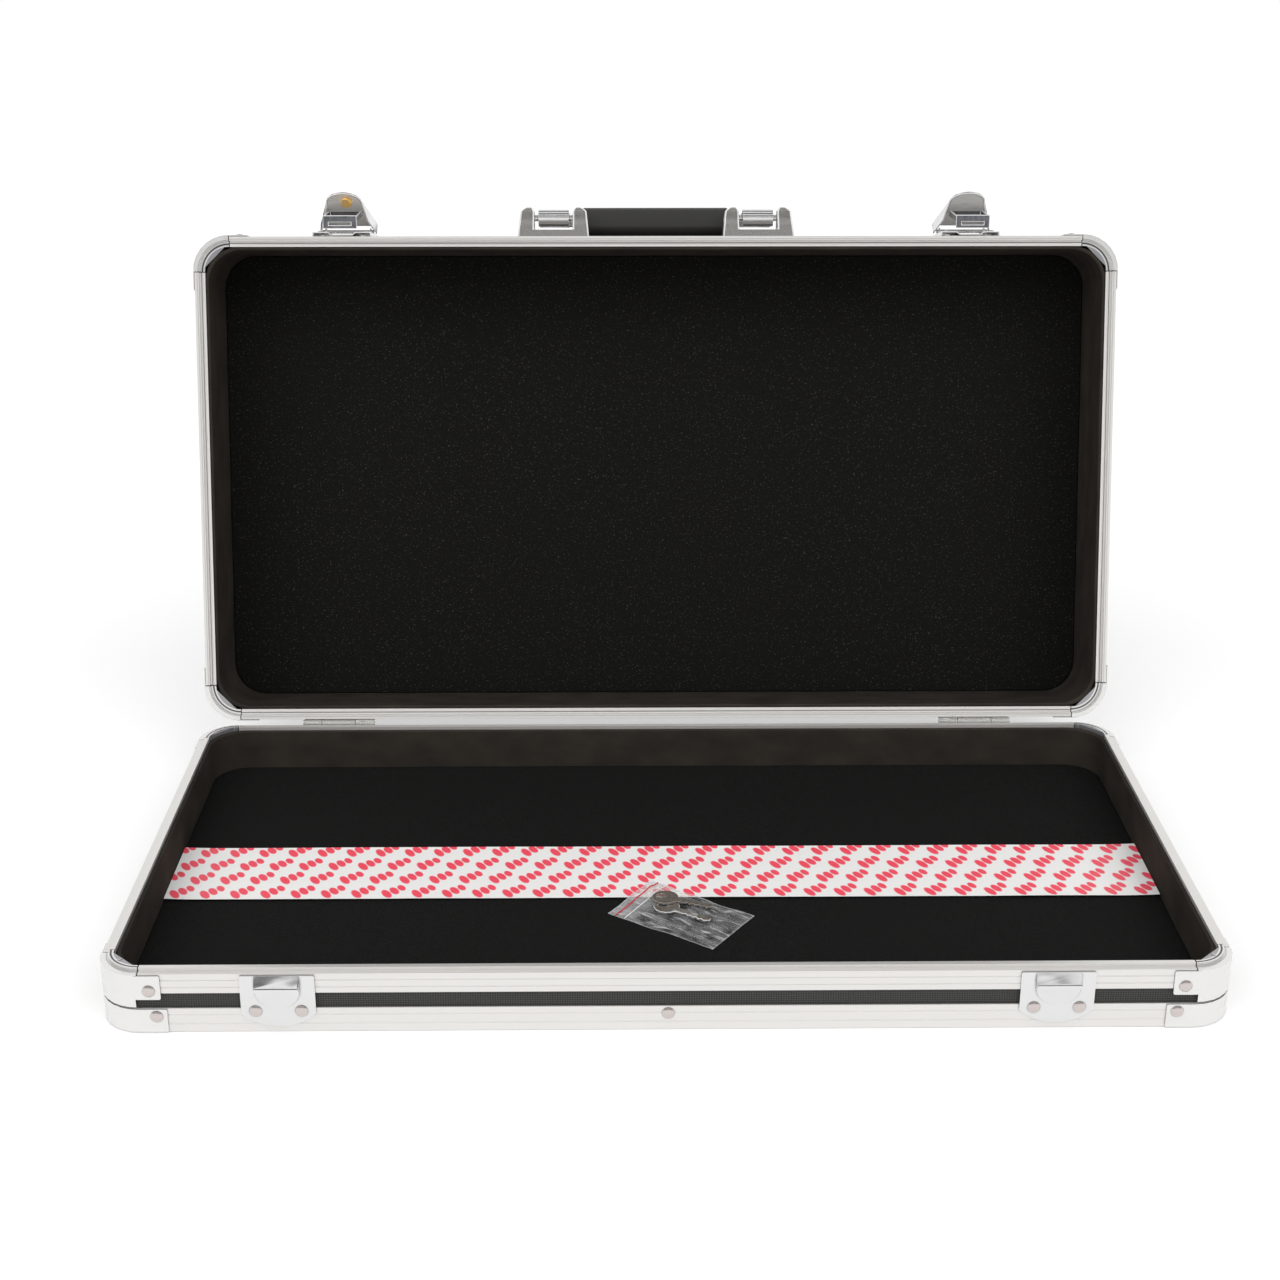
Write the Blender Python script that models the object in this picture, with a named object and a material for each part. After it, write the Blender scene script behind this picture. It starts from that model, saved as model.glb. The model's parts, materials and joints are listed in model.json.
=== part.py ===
# Guitar pedal case: a shallow tray and a deep lid in aluminium rails, standing open.
# Metres, +Z up. The origin is the middle of the tray's underside, and the front is -Y.
# The lid and all that rides on it are modelled as if closed, then turned open on the hinge.
import math

import bmesh
import bpy
from mathutils import Matrix, Vector

# Case
CASE_WIDTH = 0.688
CASE_DEPTH = 0.363
TRAY_HEIGHT = 0.040
LID_HEIGHT = 0.075
CORNER_RADIUS = 0.026
GAP = 0.0003
OVERRUN = 0.002
MERGE_DISTANCE = 0.00001

# Straight runs in each kind of round stretch
ARC_STEPS = 7
FRAME_CORNER_STEPS = 5
GRIP_CORNER_STEPS = 4
HALF_ROUND_STEPS = 8
WIDE_ROUND_STEPS = 10
TIP_STEPS = 12
BARREL_STEPS = 14
KNUCKLE_STEPS = 14
PIN_SIDES = 12
SMALL_BORE_SIDES = 10
LOCK_SIDES = 16
SMOOTH_FROM_FACES = 30
SMOOTH_ANGLE = math.radians(35)

# Panels and linings
PANEL_THICKNESS = 0.0045
FLANGE_THICKNESS = 0.0012
TRAY_FOAM_THICKNESS = 0.0052
LID_FOAM_THICKNESS = 0.0024
LINING_THICKNESS = 0.0020
LINING_CORNER_RADIUS = 0.025
LINING_DROP = 0.0006

# Rim rails, whose ledges meet when the lid is shut
RIM_FACE_HEIGHT = 0.0133
RIM_INNER_HEIGHT = 0.0100
RIM_WEB = 0.0030
TONGUE_HEIGHT = 0.0020
LEDGE_WIDTH = 0.0038
LID_LEDGE_WIDTH = 0.0032
RECESS_DEPTH = 0.0028
RIB_WIDTH = 0.0008
RIB_HEIGHT = 0.0005
GROOVE_DEPTH = 0.00035
GROOVE_HALF_WIDTH = 0.0004
RIM_GROOVE_SHARES = (0.30, 0.66)

# Edge rails round the underside of the tray and the top of the lid
EDGE_FACE_HEIGHT = 0.0163
EDGE_FLANGE_WIDTH = 0.012
EDGE_GROOVE_SHARES = (0.34, 0.72)

# Sheet corners
SHEET_THICKNESS = 0.0009
RIM_SHEET_DROP = 0.0224
RIM_ARM_LENGTH = 0.0135
RIM_ARM_TOP_DROP = 0.0009
RIM_ARM_HEIGHT = 0.0162
ARM_OVERLAP = 0.0018
EDGE_ARM_LENGTH = 0.0165
EDGE_SHEET_SHORT = 0.0001
INSERT_CHAMFER = 0.0035

# Catch plates on the front of the tray
LATCH_FROM_END = 0.1095
LATCH_SPREAD = CASE_WIDTH / 2 - LATCH_FROM_END
CATCH_WIDTH = 0.045
CATCH_TOP_DROP = 0.0010
CATCH_BOTTOM = 0.0042
CATCH_SHOULDER = 0.0130
CATCH_THICKNESS = 0.0010
BOSS_WIDTH = 0.027
BOSS_REACH = 0.0062
BOSS_LIP_HEIGHT = 0.0304
BOSS_LIP_THICKNESS = 0.0028
BOSS_THROAT = 0.0014
BOSS_FOOT = 0.0165

# Hinges behind the case
HINGE_FROM_END = 0.1010
HINGE_SPREAD = CASE_WIDTH / 2 - HINGE_FROM_END
HINGE_AXIS_OUT = 0.0033
HINGE_WIDTH = 0.054
HINGE_LEAF_THICKNESS = 0.0010
HINGE_LEAF_LENGTH = 0.020
KNUCKLE_MIDDLE_WIDTH = 0.0255
KNUCKLE_NOTCH = 0.0036
HINGE_PIN_RADIUS = 0.0013
LID_OPEN_ANGLE = math.radians(104.8)

# Handle, its brackets and its pins
GRIP_LENGTH = 0.1130
GRIP_TO_BRACKET = 0.0210
HANDLE_SPREAD = GRIP_LENGTH / 2 + GRIP_TO_BRACKET
HANDLE_RISE = 0.0350
BRACKET_BASE_WIDTH = 0.0545
BRACKET_TOP_WIDTH = 0.0485
BRACKET_HEIGHT = 0.0240
BRACKET_LENGTH = 0.0250
BRACKET_TOP_LENGTH = 0.0130
BRACKET_WINDOW = 0.0290
BRACKET_FLOOR = 0.0065
BRACKET_EAR_ROUND = 0.0030
HANDLE_PIN_OUT = 0.0160
HANDLE_PIN_RADIUS = 0.0024
BORE_CLEARANCE = 0.0004
KNOB_RADIUS = 0.0064
KNOB_WIDTH = 0.0230
ARM_THICKNESS = 0.0090
HANDLE_REACH = 0.0260
GRIP_HEIGHT = 0.0225
GRIP_WIDTH = 0.0220
GRIP_ROUND = 0.0085
GRIP_OFFSET = 0.0015
FOOT_INSET = 0.0040

# Latches on the front of the lid
PAN_WIDTH = 0.0440
PAN_LENGTH = 0.0450
PAN_START = 0.0030
PAN_HEIGHT = 0.0036
PAN_SHEET = 0.0010
PAN_DISH_WIDTH = 0.0150
PAN_DISH_SLOPE = 0.0025
PAN_DISH_DEPTH = 0.0020
EAR_SPREAD = 0.0170
EAR_THICKNESS = 0.0012
EAR_RADIUS = 0.0026
LEVER_PIN_RISE = 0.0440
LEVER_PIN_OUT = 0.0066
LEVER_PIN_RADIUS = 0.0014
LEVER_LENGTH = 0.0420
LEVER_WIDTH = 0.0430
LEVER_TIP_WIDTH = 0.0270
LEVER_TIP_LENGTH = 0.0125
LEVER_TAIL = 0.0034
LEVER_SHEET = 0.0012
LEVER_RIM = 0.0018
LEVER_FACE_OUT = 0.0082
LEVER_SKIRT = 0.0092
LEVER_SKIRT_START = 0.0160
LEVER_SKIRT_END = 0.0290
LEVER_OPEN_ANGLE = math.radians(28)
CLAW_PIN_ALONG = 0.0200
CLAW_PIN_OUT = 0.0034
CLAW_PIN_RADIUS = 0.0013
CLAW_WIDTH = 0.0250
CLAW_SHEET = 0.0012
CLAW_ARM_DEPTH = 0.0048
CLAW_TOP_OUT = 0.0030
CLAW_HOOK_BITE = 0.0028
CLAW_SLOT_WIDTH = 0.0165
CLAW_SLOT_DEPTH = 0.0022
CLAW_BAR = 0.0024
CLAW_CLEARANCE = 0.0004
CLAW_REST_TURN = math.radians(40)
LOCK_ALONG = 0.0310
LOCK_ASIDE = 0.0020
LOCK_RADIUS = 0.0042
LOCK_PROUD = 0.0009
LOCK_DEPTH = 0.0052
CAM_WIDTH = 0.0052
CAM_LENGTH = 0.0085
CAM_THICKNESS = 0.0010

# Things lying in the tray
STRIP_FROM_END = 0.0105
STRIP_LENGTH = CASE_WIDTH - 2 * STRIP_FROM_END
STRIP_WIDTH = 0.0735
STRIP_THICKNESS = 0.0012
STRIP_PLACE_Y = -0.0015
STRIP_CURL_LENGTH = 0.0260
STRIP_CURL_HEIGHT = 0.0032
STRIP_CURL_STEPS = 3
BAG_LENGTH = 0.0820
BAG_WIDTH = 0.0510
BAG_HEIGHT = 0.0046
BAG_FILM = 0.0006
BAG_SEAM = 0.0018
BAG_FLAT_SHARE = 0.62
BAG_PLACE_X = 0.0113
BAG_PLACE_Y = -0.0606
BAG_ANGLE = math.radians(-34.6)
KEY_LENGTH = 0.0340
KEY_BOW_RADIUS = 0.0088
KEY_BOW_HOLE = 0.0034
KEY_SHANK_WIDTH = 0.0052
KEY_THICKNESS = 0.0011
KEY_NOTCH = 0.0012
KEY_TEETH = 5
KEY_SPREAD = 0.0075
KEY_BACK = 0.0060
KEY_TURN = math.radians(12)

RIM_WIDTH = 2 * FLANGE_THICKNESS + 2 * GAP + PANEL_THICKNESS
SKIN = FLANGE_THICKNESS + GAP
INNER_FLANGE = RIM_WIDTH - FLANGE_THICKNESS
LINING_FACE = RIM_WIDTH + GAP + LINING_THICKNESS
FLOOR = PANEL_THICKNESS + GAP
HALF_WIDTH = CASE_WIDTH / 2
HALF_DEPTH = CASE_DEPTH / 2
SHEET_FACE = GAP + SHEET_THICKNESS
CLAW_REACH = LEVER_PIN_RISE - CLAW_PIN_ALONG + TRAY_HEIGHT + GAP - BOSS_LIP_HEIGHT + CLAW_CLEARANCE
CATCH_LEVEL = LEVER_PIN_OUT + CLAW_PIN_OUT - BOSS_REACH + CLAW_HOOK_BITE
QUARTER = math.pi / 2
FRONT, SIDE, BACK, OTHER_SIDE = 0, 1, 2, 3


def clear_scene():
    for item in list(bpy.data.objects):
        bpy.data.objects.remove(item, do_unlink=True)


def new_collection(name):
    made = bpy.data.collections.new(name)
    bpy.context.scene.collection.children.link(made)
    return made


def new_material(name, color, roughness, metallic):
    made = bpy.data.materials.new(name)
    made.use_nodes = True
    shader = made.node_tree.nodes["Principled BSDF"]
    shader.inputs["Base Color"].default_value = (*color, 1)
    shader.inputs["Roughness"].default_value = roughness
    shader.inputs["Metallic"].default_value = metallic
    return made


clear_scene()
PARTS = new_collection("guitar_pedal_case")
CUTTERS = new_collection("cutters")
ALUMINIUM = new_material("brushed_aluminium", (0.78, 0.77, 0.75), 0.35, 1.0)
CHROME = new_material("chrome_plate", (0.80, 0.80, 0.80), 0.12, 1.0)
ZINC = new_material("cast_zinc", (0.66, 0.66, 0.66), 0.38, 1.0)
BRASS = new_material("brass", (0.86, 0.60, 0.20), 0.25, 1.0)
ABS_SKIN = new_material("black_textured_skin", (0.045, 0.045, 0.043), 0.55, 0.0)
FOAM = new_material("black_foam", (0.006, 0.006, 0.006), 0.95, 0.0)
LINING = new_material("dark_lining", (0.022, 0.020, 0.017), 0.90, 0.0)
GRIP = new_material("grip_plastic", (0.012, 0.012, 0.012), 0.35, 0.0)
LINER = new_material("printed_liner", (0.80, 0.78, 0.76), 0.50, 0.0)
FILM = new_material("clear_film", (0.70, 0.70, 0.70), 0.20, 0.0)


# Outlines

def arc(centre, radius, start, end, steps=ARC_STEPS):
    turns = [start + (end - start) * i / steps for i in range(steps + 1)]
    return [(centre[0] + radius * math.cos(t), centre[1] + radius * math.sin(t)) for t in turns]


def circle(centre, radius, steps=PIN_SIDES):
    return arc(centre, radius, 0, 2 * math.pi, steps)[:-1]


def rounded_rectangle(half_x, half_y, radius, centre=(0, 0), steps=ARC_STEPS):
    points = []
    for turn, (sx, sy) in enumerate(((1, 1), (-1, 1), (-1, -1), (1, -1))):
        middle = (centre[0] + sx * (half_x - radius), centre[1] + sy * (half_y - radius))
        points += arc(middle, radius, turn * QUARTER, (turn + 1) * QUARTER, steps)
    return points


def inset_plan(inset, radius, steps=ARC_STEPS):
    return rounded_rectangle(HALF_WIDTH - inset, HALF_DEPTH - inset, radius, steps=steps)


def thick_line(points, thickness):
    """An open line's outline: the line itself, and the same line one thickness to its left."""
    left = []
    for i, point in enumerate(points):
        before = Vector(points[max(i - 1, 0)])
        after = Vector(points[min(i + 1, len(points) - 1)])
        here = Vector(point)
        ways = [(b - a).normalized() for a, b in ((before, here), (here, after)) if (b - a).length]
        normals = [Vector((-way.y, way.x)) for way in ways]
        mitre = sum(normals, Vector((0, 0))).normalized()
        left.append(tuple(here + mitre * thickness / mitre.dot(normals[0])))
    return list(points) + left[::-1]


# Solids

AXES = {
    "X": Matrix(((0, 0, 1), (1, 0, 0), (0, 1, 0))),
    "Y": Matrix(((1, 0, 0), (0, 0, -1), (0, 1, 0))),
    "Z": Matrix.Identity(3),
}


def add_object(name, mesh, material=None, collection=PARTS):
    made = bpy.data.objects.new(name, mesh)
    collection.objects.link(made)
    if material:
        mesh.materials.clear()
        mesh.materials.append(material)
    return made


def evaluated_mesh(item):
    bpy.context.view_layer.update()
    graph = bpy.context.evaluated_depsgraph_get()
    return bpy.data.meshes.new_from_object(item.evaluated_get(graph))


def prism(name, outline, low, high, axis="Z", holes=(), material=None):
    """A flat outline drawn in the plane square to axis, and filled from low to high along it.
    The outline's points are (x, y) for Z, (y, z) for X and (x, z) for Y."""
    curve = bpy.data.curves.new(name, "CURVE")
    curve.dimensions = "2D"
    curve.fill_mode = "BOTH"
    curve.extrude = (high - low) / 2
    for points in (outline, *holes):
        spline = curve.splines.new("POLY")
        spline.points.add(len(points) - 1)
        for spot, (x, y) in zip(spline.points, points):
            spot.co = (x, y, 0, 1)
        spline.use_cyclic_u = True
    flat = bpy.data.objects.new(name, curve)
    PARTS.objects.link(flat)
    mesh = evaluated_mesh(flat)
    bpy.data.objects.remove(flat)
    middle = (low + high) / 2
    if axis == "Y":
        middle = -middle
    work = bmesh.new()
    work.from_mesh(mesh)
    bmesh.ops.remove_doubles(work, verts=work.verts, dist=MERGE_DISTANCE)
    work.transform(AXES[axis].to_4x4() @ Matrix.Translation((0, 0, middle)))
    bmesh.ops.recalc_face_normals(work, faces=work.faces)
    work.to_mesh(mesh)
    work.free()
    return add_object(name, mesh, material)


def block(name, low, high, material=None):
    work = bmesh.new()
    bmesh.ops.create_cube(work, size=1)
    size = [b - a for a, b in zip(low, high)]
    middle = [(a + b) / 2 for a, b in zip(low, high)]
    work.transform(Matrix.Translation(middle) @ Matrix.Diagonal((*size, 1)))
    mesh = bpy.data.meshes.new(name)
    work.to_mesh(mesh)
    work.free()
    return add_object(name, mesh, material)


def rod(name, radius, low, high, centre=(0, 0), axis="X", steps=PIN_SIDES, material=None):
    """A round bar from low to high along axis, with its middle at centre in the other two."""
    work = bmesh.new()
    bmesh.ops.create_cone(
        work, cap_ends=True, segments=steps, radius1=radius, radius2=radius, depth=high - low
    )
    middle = (low + high) / 2
    if axis == "Y":
        middle = -middle
    work.transform(Matrix.Translation((*centre, middle)))
    work.transform(AXES[axis].to_4x4())
    mesh = bpy.data.meshes.new(name)
    work.to_mesh(mesh)
    work.free()
    return add_object(name, mesh, material)


def combine(target, tool, operation="DIFFERENCE"):
    """A live Boolean. The tool becomes a hidden child of its target, so both move together."""
    for owner in list(tool.users_collection):
        owner.objects.unlink(tool)
    CUTTERS.objects.link(tool)
    tool.parent = target
    tool.hide_render = True
    tool.display_type = "WIRE"
    change = target.modifiers.new(operation.lower(), "BOOLEAN")
    change.operation = operation
    change.object = tool
    change.solver = "EXACT"
    return target


def turn_z(angle):
    return Matrix.Rotation(angle, 4, "Z")


def empty(name, place, parent=None, turn=0):
    made = bpy.data.objects.new(name, None)
    CUTTERS.objects.link(made)
    made.hide_render = True
    made.parent = parent
    made.location = place
    made.rotation_euler = (turn, 0, 0)
    return made


def hang(item, parent, matrix=Matrix.Identity(4)):
    item.parent = parent
    item.matrix_basis = matrix
    return item


def smooth(item):
    item.data.shade_smooth()
    item.data.set_sharp_from_angle(angle=SMOOTH_ANGLE)
    return item


# Shells: modelled outer face down, with the rim on top

def rim_profile(height, lid):
    """A rail's section as (inset from the outer face, height) points."""
    face = height - RIM_FACE_HEIGHT
    if lid:
        seat = height - RECESS_DEPTH
        rib = (LID_LEDGE_WIDTH + RIM_WIDTH - RIB_WIDTH) / 2
        points = [(0, height), (LID_LEDGE_WIDTH, height), (LID_LEDGE_WIDTH, seat), (rib, seat)]
        points += [(rib, seat + RIB_HEIGHT), (rib + RIB_WIDTH, seat + RIB_HEIGHT)]
        points += [(rib + RIB_WIDTH, seat), (RIM_WIDTH, seat)]
    else:
        seat = height
        crest = height + TONGUE_HEIGHT
        points = [(0, height), (LEDGE_WIDTH, height), (LEDGE_WIDTH, crest), (RIM_WIDTH, crest)]
    points += [(RIM_WIDTH, seat - RIM_INNER_HEIGHT), (INNER_FLANGE, seat - RIM_INNER_HEIGHT)]
    points += [(INNER_FLANGE, seat - RIM_WEB), (FLANGE_THICKNESS, seat - RIM_WEB)]
    points += [(FLANGE_THICKNESS, face), (0, face)]
    return points + grooves(face, RIM_FACE_HEIGHT, RIM_GROOVE_SHARES)


def grooves(start, run, shares):
    points = []
    for share in shares:
        middle = start + run * share
        points += [(0, middle - GROOVE_HALF_WIDTH), (GROOVE_DEPTH, middle)]
        points += [(0, middle + GROOVE_HALF_WIDTH)]
    return points


def edge_profile():
    points = [(0, EDGE_FACE_HEIGHT), (FLANGE_THICKNESS, EDGE_FACE_HEIGHT)]
    points += [(FLANGE_THICKNESS, FLANGE_THICKNESS), (EDGE_FLANGE_WIDTH, FLANGE_THICKNESS)]
    points += [(EDGE_FLANGE_WIDTH, 0), (0, 0)]
    return points + grooves(0, EDGE_FACE_HEIGHT, EDGE_GROOVE_SHARES)


def ring_sweep(name, profile, material=None, steps=FRAME_CORNER_STEPS):
    """An (inset, height) section carried round the case's rounded plan."""
    work = bmesh.new()
    loops = []
    for inset, rise in profile:
        plan = inset_plan(inset, CORNER_RADIUS - inset, steps)
        loops.append([work.verts.new((x, y, rise)) for x, y in plan])
    for here, there in zip(loops, loops[1:] + loops[:1]):
        for i in range(len(here)):
            j = (i + 1) % len(here)
            work.faces.new((here[i], here[j], there[j], there[i]))
    bmesh.ops.recalc_face_normals(work, faces=work.faces)
    mesh = bpy.data.meshes.new(name)
    work.to_mesh(mesh)
    work.free()
    return add_object(name, mesh, material)


def side_reach(turn):
    """How far the outer face of a side lies from the middle, and half the length of its rails."""
    reach, other = (HALF_DEPTH, HALF_WIDTH) if turn in (FRONT, BACK) else (HALF_WIDTH, HALF_DEPTH)
    return reach, other - CORNER_RADIUS - GAP


def side_bar(name, profile, turn, material=None):
    reach, half = side_reach(turn)
    return prism(name, [(n - reach, u) for n, u in profile], -half, half, "X", material=material)


def corner_places():
    across = HALF_WIDTH - CORNER_RADIUS
    along = HALF_DEPTH - CORNER_RADIUS
    spots = ((across, -along), (across, along), (-across, along), (-across, -along))
    return [
        Matrix.Translation((*spot, 0)) @ turn_z(turn * QUARTER) for turn, spot in enumerate(spots)
    ]


def quarter_band(name, inner, outer, low, high, arm):
    """A quarter ring round a corner's centre, with a straight arm at each end."""
    points = [(-arm, -outer)] + arc((0, 0), outer, -QUARTER, 0) + [(outer, arm), (inner, arm)]
    points += arc((0, 0), inner, 0, -QUARTER) + [(-arm, -inner)]
    return prism(name, points, low, high)


def gusset(height, lid):
    """The cast web inside a rim corner, which carries the rim round it with a chamfered inner side."""
    inner = CORNER_RADIUS - RIM_WIDTH
    outer = CORNER_RADIUS + GAP + SHEET_THICKNESS / 2
    slip = math.asin(GAP / outer)
    points = arc((0, 0), outer, slip - QUARTER, -slip)
    points += [(inner, -GAP), (inner, -INSERT_CHAMFER), (INSERT_CHAMFER, -inner), (GAP, -inner)]
    if lid:
        seat = height - RECESS_DEPTH
        web = prism("gusset", points, seat - RIM_WEB, height)
        bound = CORNER_RADIUS - LID_LEDGE_WIDTH
        cut = arc((0, 0), bound, -QUARTER, 0) + [(bound, OVERRUN), (-OVERRUN, OVERRUN)]
        return combine(web, prism("recess_cut", cut + [(-OVERRUN, -bound)], seat, height + OVERRUN))
    web = prism("gusset", points, height - RIM_WEB, height + TONGUE_HEIGHT)
    bound = CORNER_RADIUS - LEDGE_WIDTH
    far = outer + OVERRUN
    cut = [(-OVERRUN, -far)] + arc((0, 0), far, -QUARTER, 0) + [(far, OVERRUN), (bound, OVERRUN)]
    cut += arc((0, 0), bound, 0, -QUARTER) + [(-OVERRUN, -bound)]
    return combine(web, prism("ledge_cut", cut, height, height + TONGUE_HEIGHT + OVERRUN))


def rim_corner(height, lid):
    """A sheet corner, with arms narrower than its round part, and its gusset."""
    inner = CORNER_RADIUS + GAP
    outer = CORNER_RADIUS + SHEET_FACE
    low = height - RIM_SHEET_DROP
    sheet = quarter_band("rim_corner", inner, outer, low, height, RIM_ARM_LENGTH)
    arm_high = height - RIM_ARM_TOP_DROP
    mirror = Matrix(((0, -1, 0), (-1, 0, 0), (0, 0, 1))).to_4x4()
    for bottom, top in ((low - OVERRUN, arm_high - RIM_ARM_HEIGHT), (arm_high, height + OVERRUN)):
        for across in (False, True):
            notch = block(
                "arm_notch",
                (-RIM_ARM_LENGTH - OVERRUN, -outer - OVERRUN, bottom),
                (ARM_OVERLAP, -inner + OVERRUN, top),
            )
            if across:
                notch.data.transform(mirror)
                notch.data.flip_normals()
            combine(sheet, notch)
    return combine(sheet, gusset(height, lid), "UNION")


def lining_ring(name, height, top, lid):
    """The side lining, let in behind the rim rails and the corner gussets."""
    back = SKIN + PANEL_THICKNESS + GAP
    ring = prism(
        name,
        inset_plan(back, CORNER_RADIUS - back),
        FLOOR,
        top,
        holes=[inset_plan(LINING_FACE, LINING_CORNER_RADIUS)],
        material=LINING,
    )
    side = RIM_WIDTH + GAP
    reach = 2 * CORNER_RADIUS - (CORNER_RADIUS - RIM_WIDTH) - INSERT_CHAMFER + 2 * GAP - side
    near_x, near_y = HALF_WIDTH - side, HALF_DEPTH - side
    far_x, far_y = HALF_WIDTH - reach, HALF_DEPTH - reach
    hole = [(near_x, -far_y), (near_x, far_y), (far_x, near_y), (-far_x, near_y)]
    hole += [(-near_x, far_y), (-near_x, -far_y), (-far_x, -near_y), (far_x, -near_y)]
    seat = height - RECESS_DEPTH if lid else height
    low = seat - RIM_INNER_HEIGHT - GAP
    bound = inset_plan(0, CORNER_RADIUS)
    return combine(ring, prism("lining_cut", bound, low, height + OVERRUN, holes=[hole]))


def build_shell(prefix, height, foam, lid, names):
    """All fixed pieces of the tray or the lid, and the places of its own rivets."""
    made = {}
    seat = height - RECESS_DEPTH if lid else height
    panel = prism(
        prefix + ("_top_panel" if lid else "_bottom_panel"),
        inset_plan(SKIN, CORNER_RADIUS - SKIN),
        0,
        PANEL_THICKNESS,
        material=ABS_SKIN,
    )
    rabbet = EDGE_FLANGE_WIDTH + GAP
    step = prism(
        "rabbet_cut",
        inset_plan(-OVERRUN, CORNER_RADIUS + OVERRUN),
        -OVERRUN,
        FLANGE_THICKNESS + GAP,
        holes=[inset_plan(rabbet, CORNER_RADIUS - rabbet)],
    )
    made["panel"] = combine(panel, step)
    wall_top = seat - RIM_WEB - GAP
    inside = SKIN + PANEL_THICKNESS
    made["walls"] = prism(
        prefix + "_side_walls",
        inset_plan(SKIN, CORNER_RADIUS - SKIN),
        FLOOR,
        wall_top,
        holes=[inset_plan(inside, CORNER_RADIUS - inside)],
        material=ABS_SKIN,
    )
    made["edge"] = ring_sweep(prefix + "_edge_frame", edge_profile(), ALUMINIUM)
    for turn, side in enumerate(names):
        rim = side_bar(f"{prefix}_rim_rail_{side}", rim_profile(height, lid), turn, ALUMINIUM)
        rim.data.transform(turn_z(turn * QUARTER))
        made[f"rim_{turn}"] = rim
    outer = CORNER_RADIUS + SHEET_FACE
    hands = ("right", "right", "left", "left")
    spots = zip((names[0], names[2], names[2], names[0]), hands, corner_places())
    for number, (side, hand, place) in enumerate(spots):
        rim = rim_corner(height, lid)
        rim.name = f"{prefix}_rim_corner_{side}_{hand}"
        edge_top = EDGE_FACE_HEIGHT - EDGE_SHEET_SHORT
        edge = quarter_band("edge", CORNER_RADIUS + GAP, outer, 0, edge_top, EDGE_ARM_LENGTH)
        edge.name = f"{prefix}_edge_corner_{side}_{hand}"
        for kind, piece in (("rim_corner", rim), ("edge_corner", edge)):
            piece.data.materials.append(ALUMINIUM)
            piece.matrix_basis = place
            made[f"{kind}_{number}"] = piece
    made["lining"] = lining_ring(prefix + "_side_lining", height, seat - LINING_DROP, lid)
    made["foam"] = prism(
        prefix + ("_foam_panel" if lid else "_floor_foam"),
        inset_plan(LINING_FACE + GAP, LINING_CORNER_RADIUS - GAP),
        FLOOR,
        FLOOR + foam,
        material=FOAM,
    )
    return made


# Catch plates

def catch_plate(name):
    """A stamped plate with a shield-shaped boss. Its lip overhangs, and the claw pulls under it."""
    half = CATCH_WIDTH / 2
    back = HALF_DEPTH + GAP
    face = back + CATCH_THICKNESS
    top = TRAY_HEIGHT - CATCH_TOP_DROP
    sag = CATCH_SHOULDER - CATCH_BOTTOM
    radius = (half * half + sag * sag) / (2 * sag)
    spread = math.asin(half / radius)
    outline = [(half, top), (-half, top)]
    middle = (0, CATCH_BOTTOM + radius)
    outline += arc(middle, radius, -QUARTER - spread, -QUARTER + spread, WIDE_ROUND_STEPS)
    plate = prism(name, outline, -face, -back, "Y", material=ALUMINIUM)
    root = back + CATCH_THICKNESS / 2
    lip_top = BOSS_LIP_HEIGHT + BOSS_LIP_THICKNESS
    reach = HALF_DEPTH + BOSS_REACH
    throat = face + BOSS_THROAT
    side = [(-root, top), (-face, top), (-reach + BOSS_LIP_THICKNESS / 4, lip_top)]
    side += [(-reach, lip_top - BOSS_LIP_THICKNESS / 4), (-reach, BOSS_LIP_HEIGHT)]
    side += [(-throat, BOSS_LIP_HEIGHT), (-throat, BOSS_LIP_HEIGHT - BOSS_LIP_THICKNESS)]
    side += [(-face, BOSS_FOOT), (-root, BOSS_FOOT)]
    width = BOSS_WIDTH / 2
    boss = prism("boss", side, -width, width, "X")
    shield = [(width, top + OVERRUN), (-width, top + OVERRUN)]
    shield += arc((0, BOSS_FOOT + width), width, -math.pi, 0, WIDE_ROUND_STEPS)
    combine(boss, prism("shield", shield, -reach - OVERRUN, 0, "Y"), "INTERSECT")
    return combine(plate, boss, "UNION")


# Hinges, about their own axis

def hinge_leaf(name, up):
    """A leaf with rolled knuckles. up is -1 for the tray's leaf and 1 for the lid's."""
    radius = HINGE_AXIS_OUT - GAP
    bend = math.acos((HINGE_LEAF_THICKNESS - radius) / radius)
    points = [(-radius, up * HINGE_LEAF_LENGTH)]
    points += [(y, -up * z) for y, z in arc((0, 0), radius, math.pi, -bend, KNUCKLE_STEPS)]
    points += [(HINGE_LEAF_THICKNESS - radius, up * HINGE_LEAF_LENGTH)]
    bore = circle((0, 0), HINGE_PIN_RADIUS + GAP, SMALL_BORE_SIDES)
    half = HINGE_WIDTH / 2
    leaf = prism(name, points, -half, half, "X", holes=[bore], material=CHROME)
    middle = KNUCKLE_MIDDLE_WIDTH / 2
    far = radius + OVERRUN
    spans = [(-middle - GAP, middle + GAP)]
    if up > 0:
        spans = [(-half - OVERRUN, -middle), (middle, half + OVERRUN)]
    for left, right in spans:
        low, high = sorted((up * KNUCKLE_NOTCH, -up * far))
        combine(leaf, block("knuckle_gap", (left, -far, low), (right, far, high)))
    return leaf


# Handle brackets and handle

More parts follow.
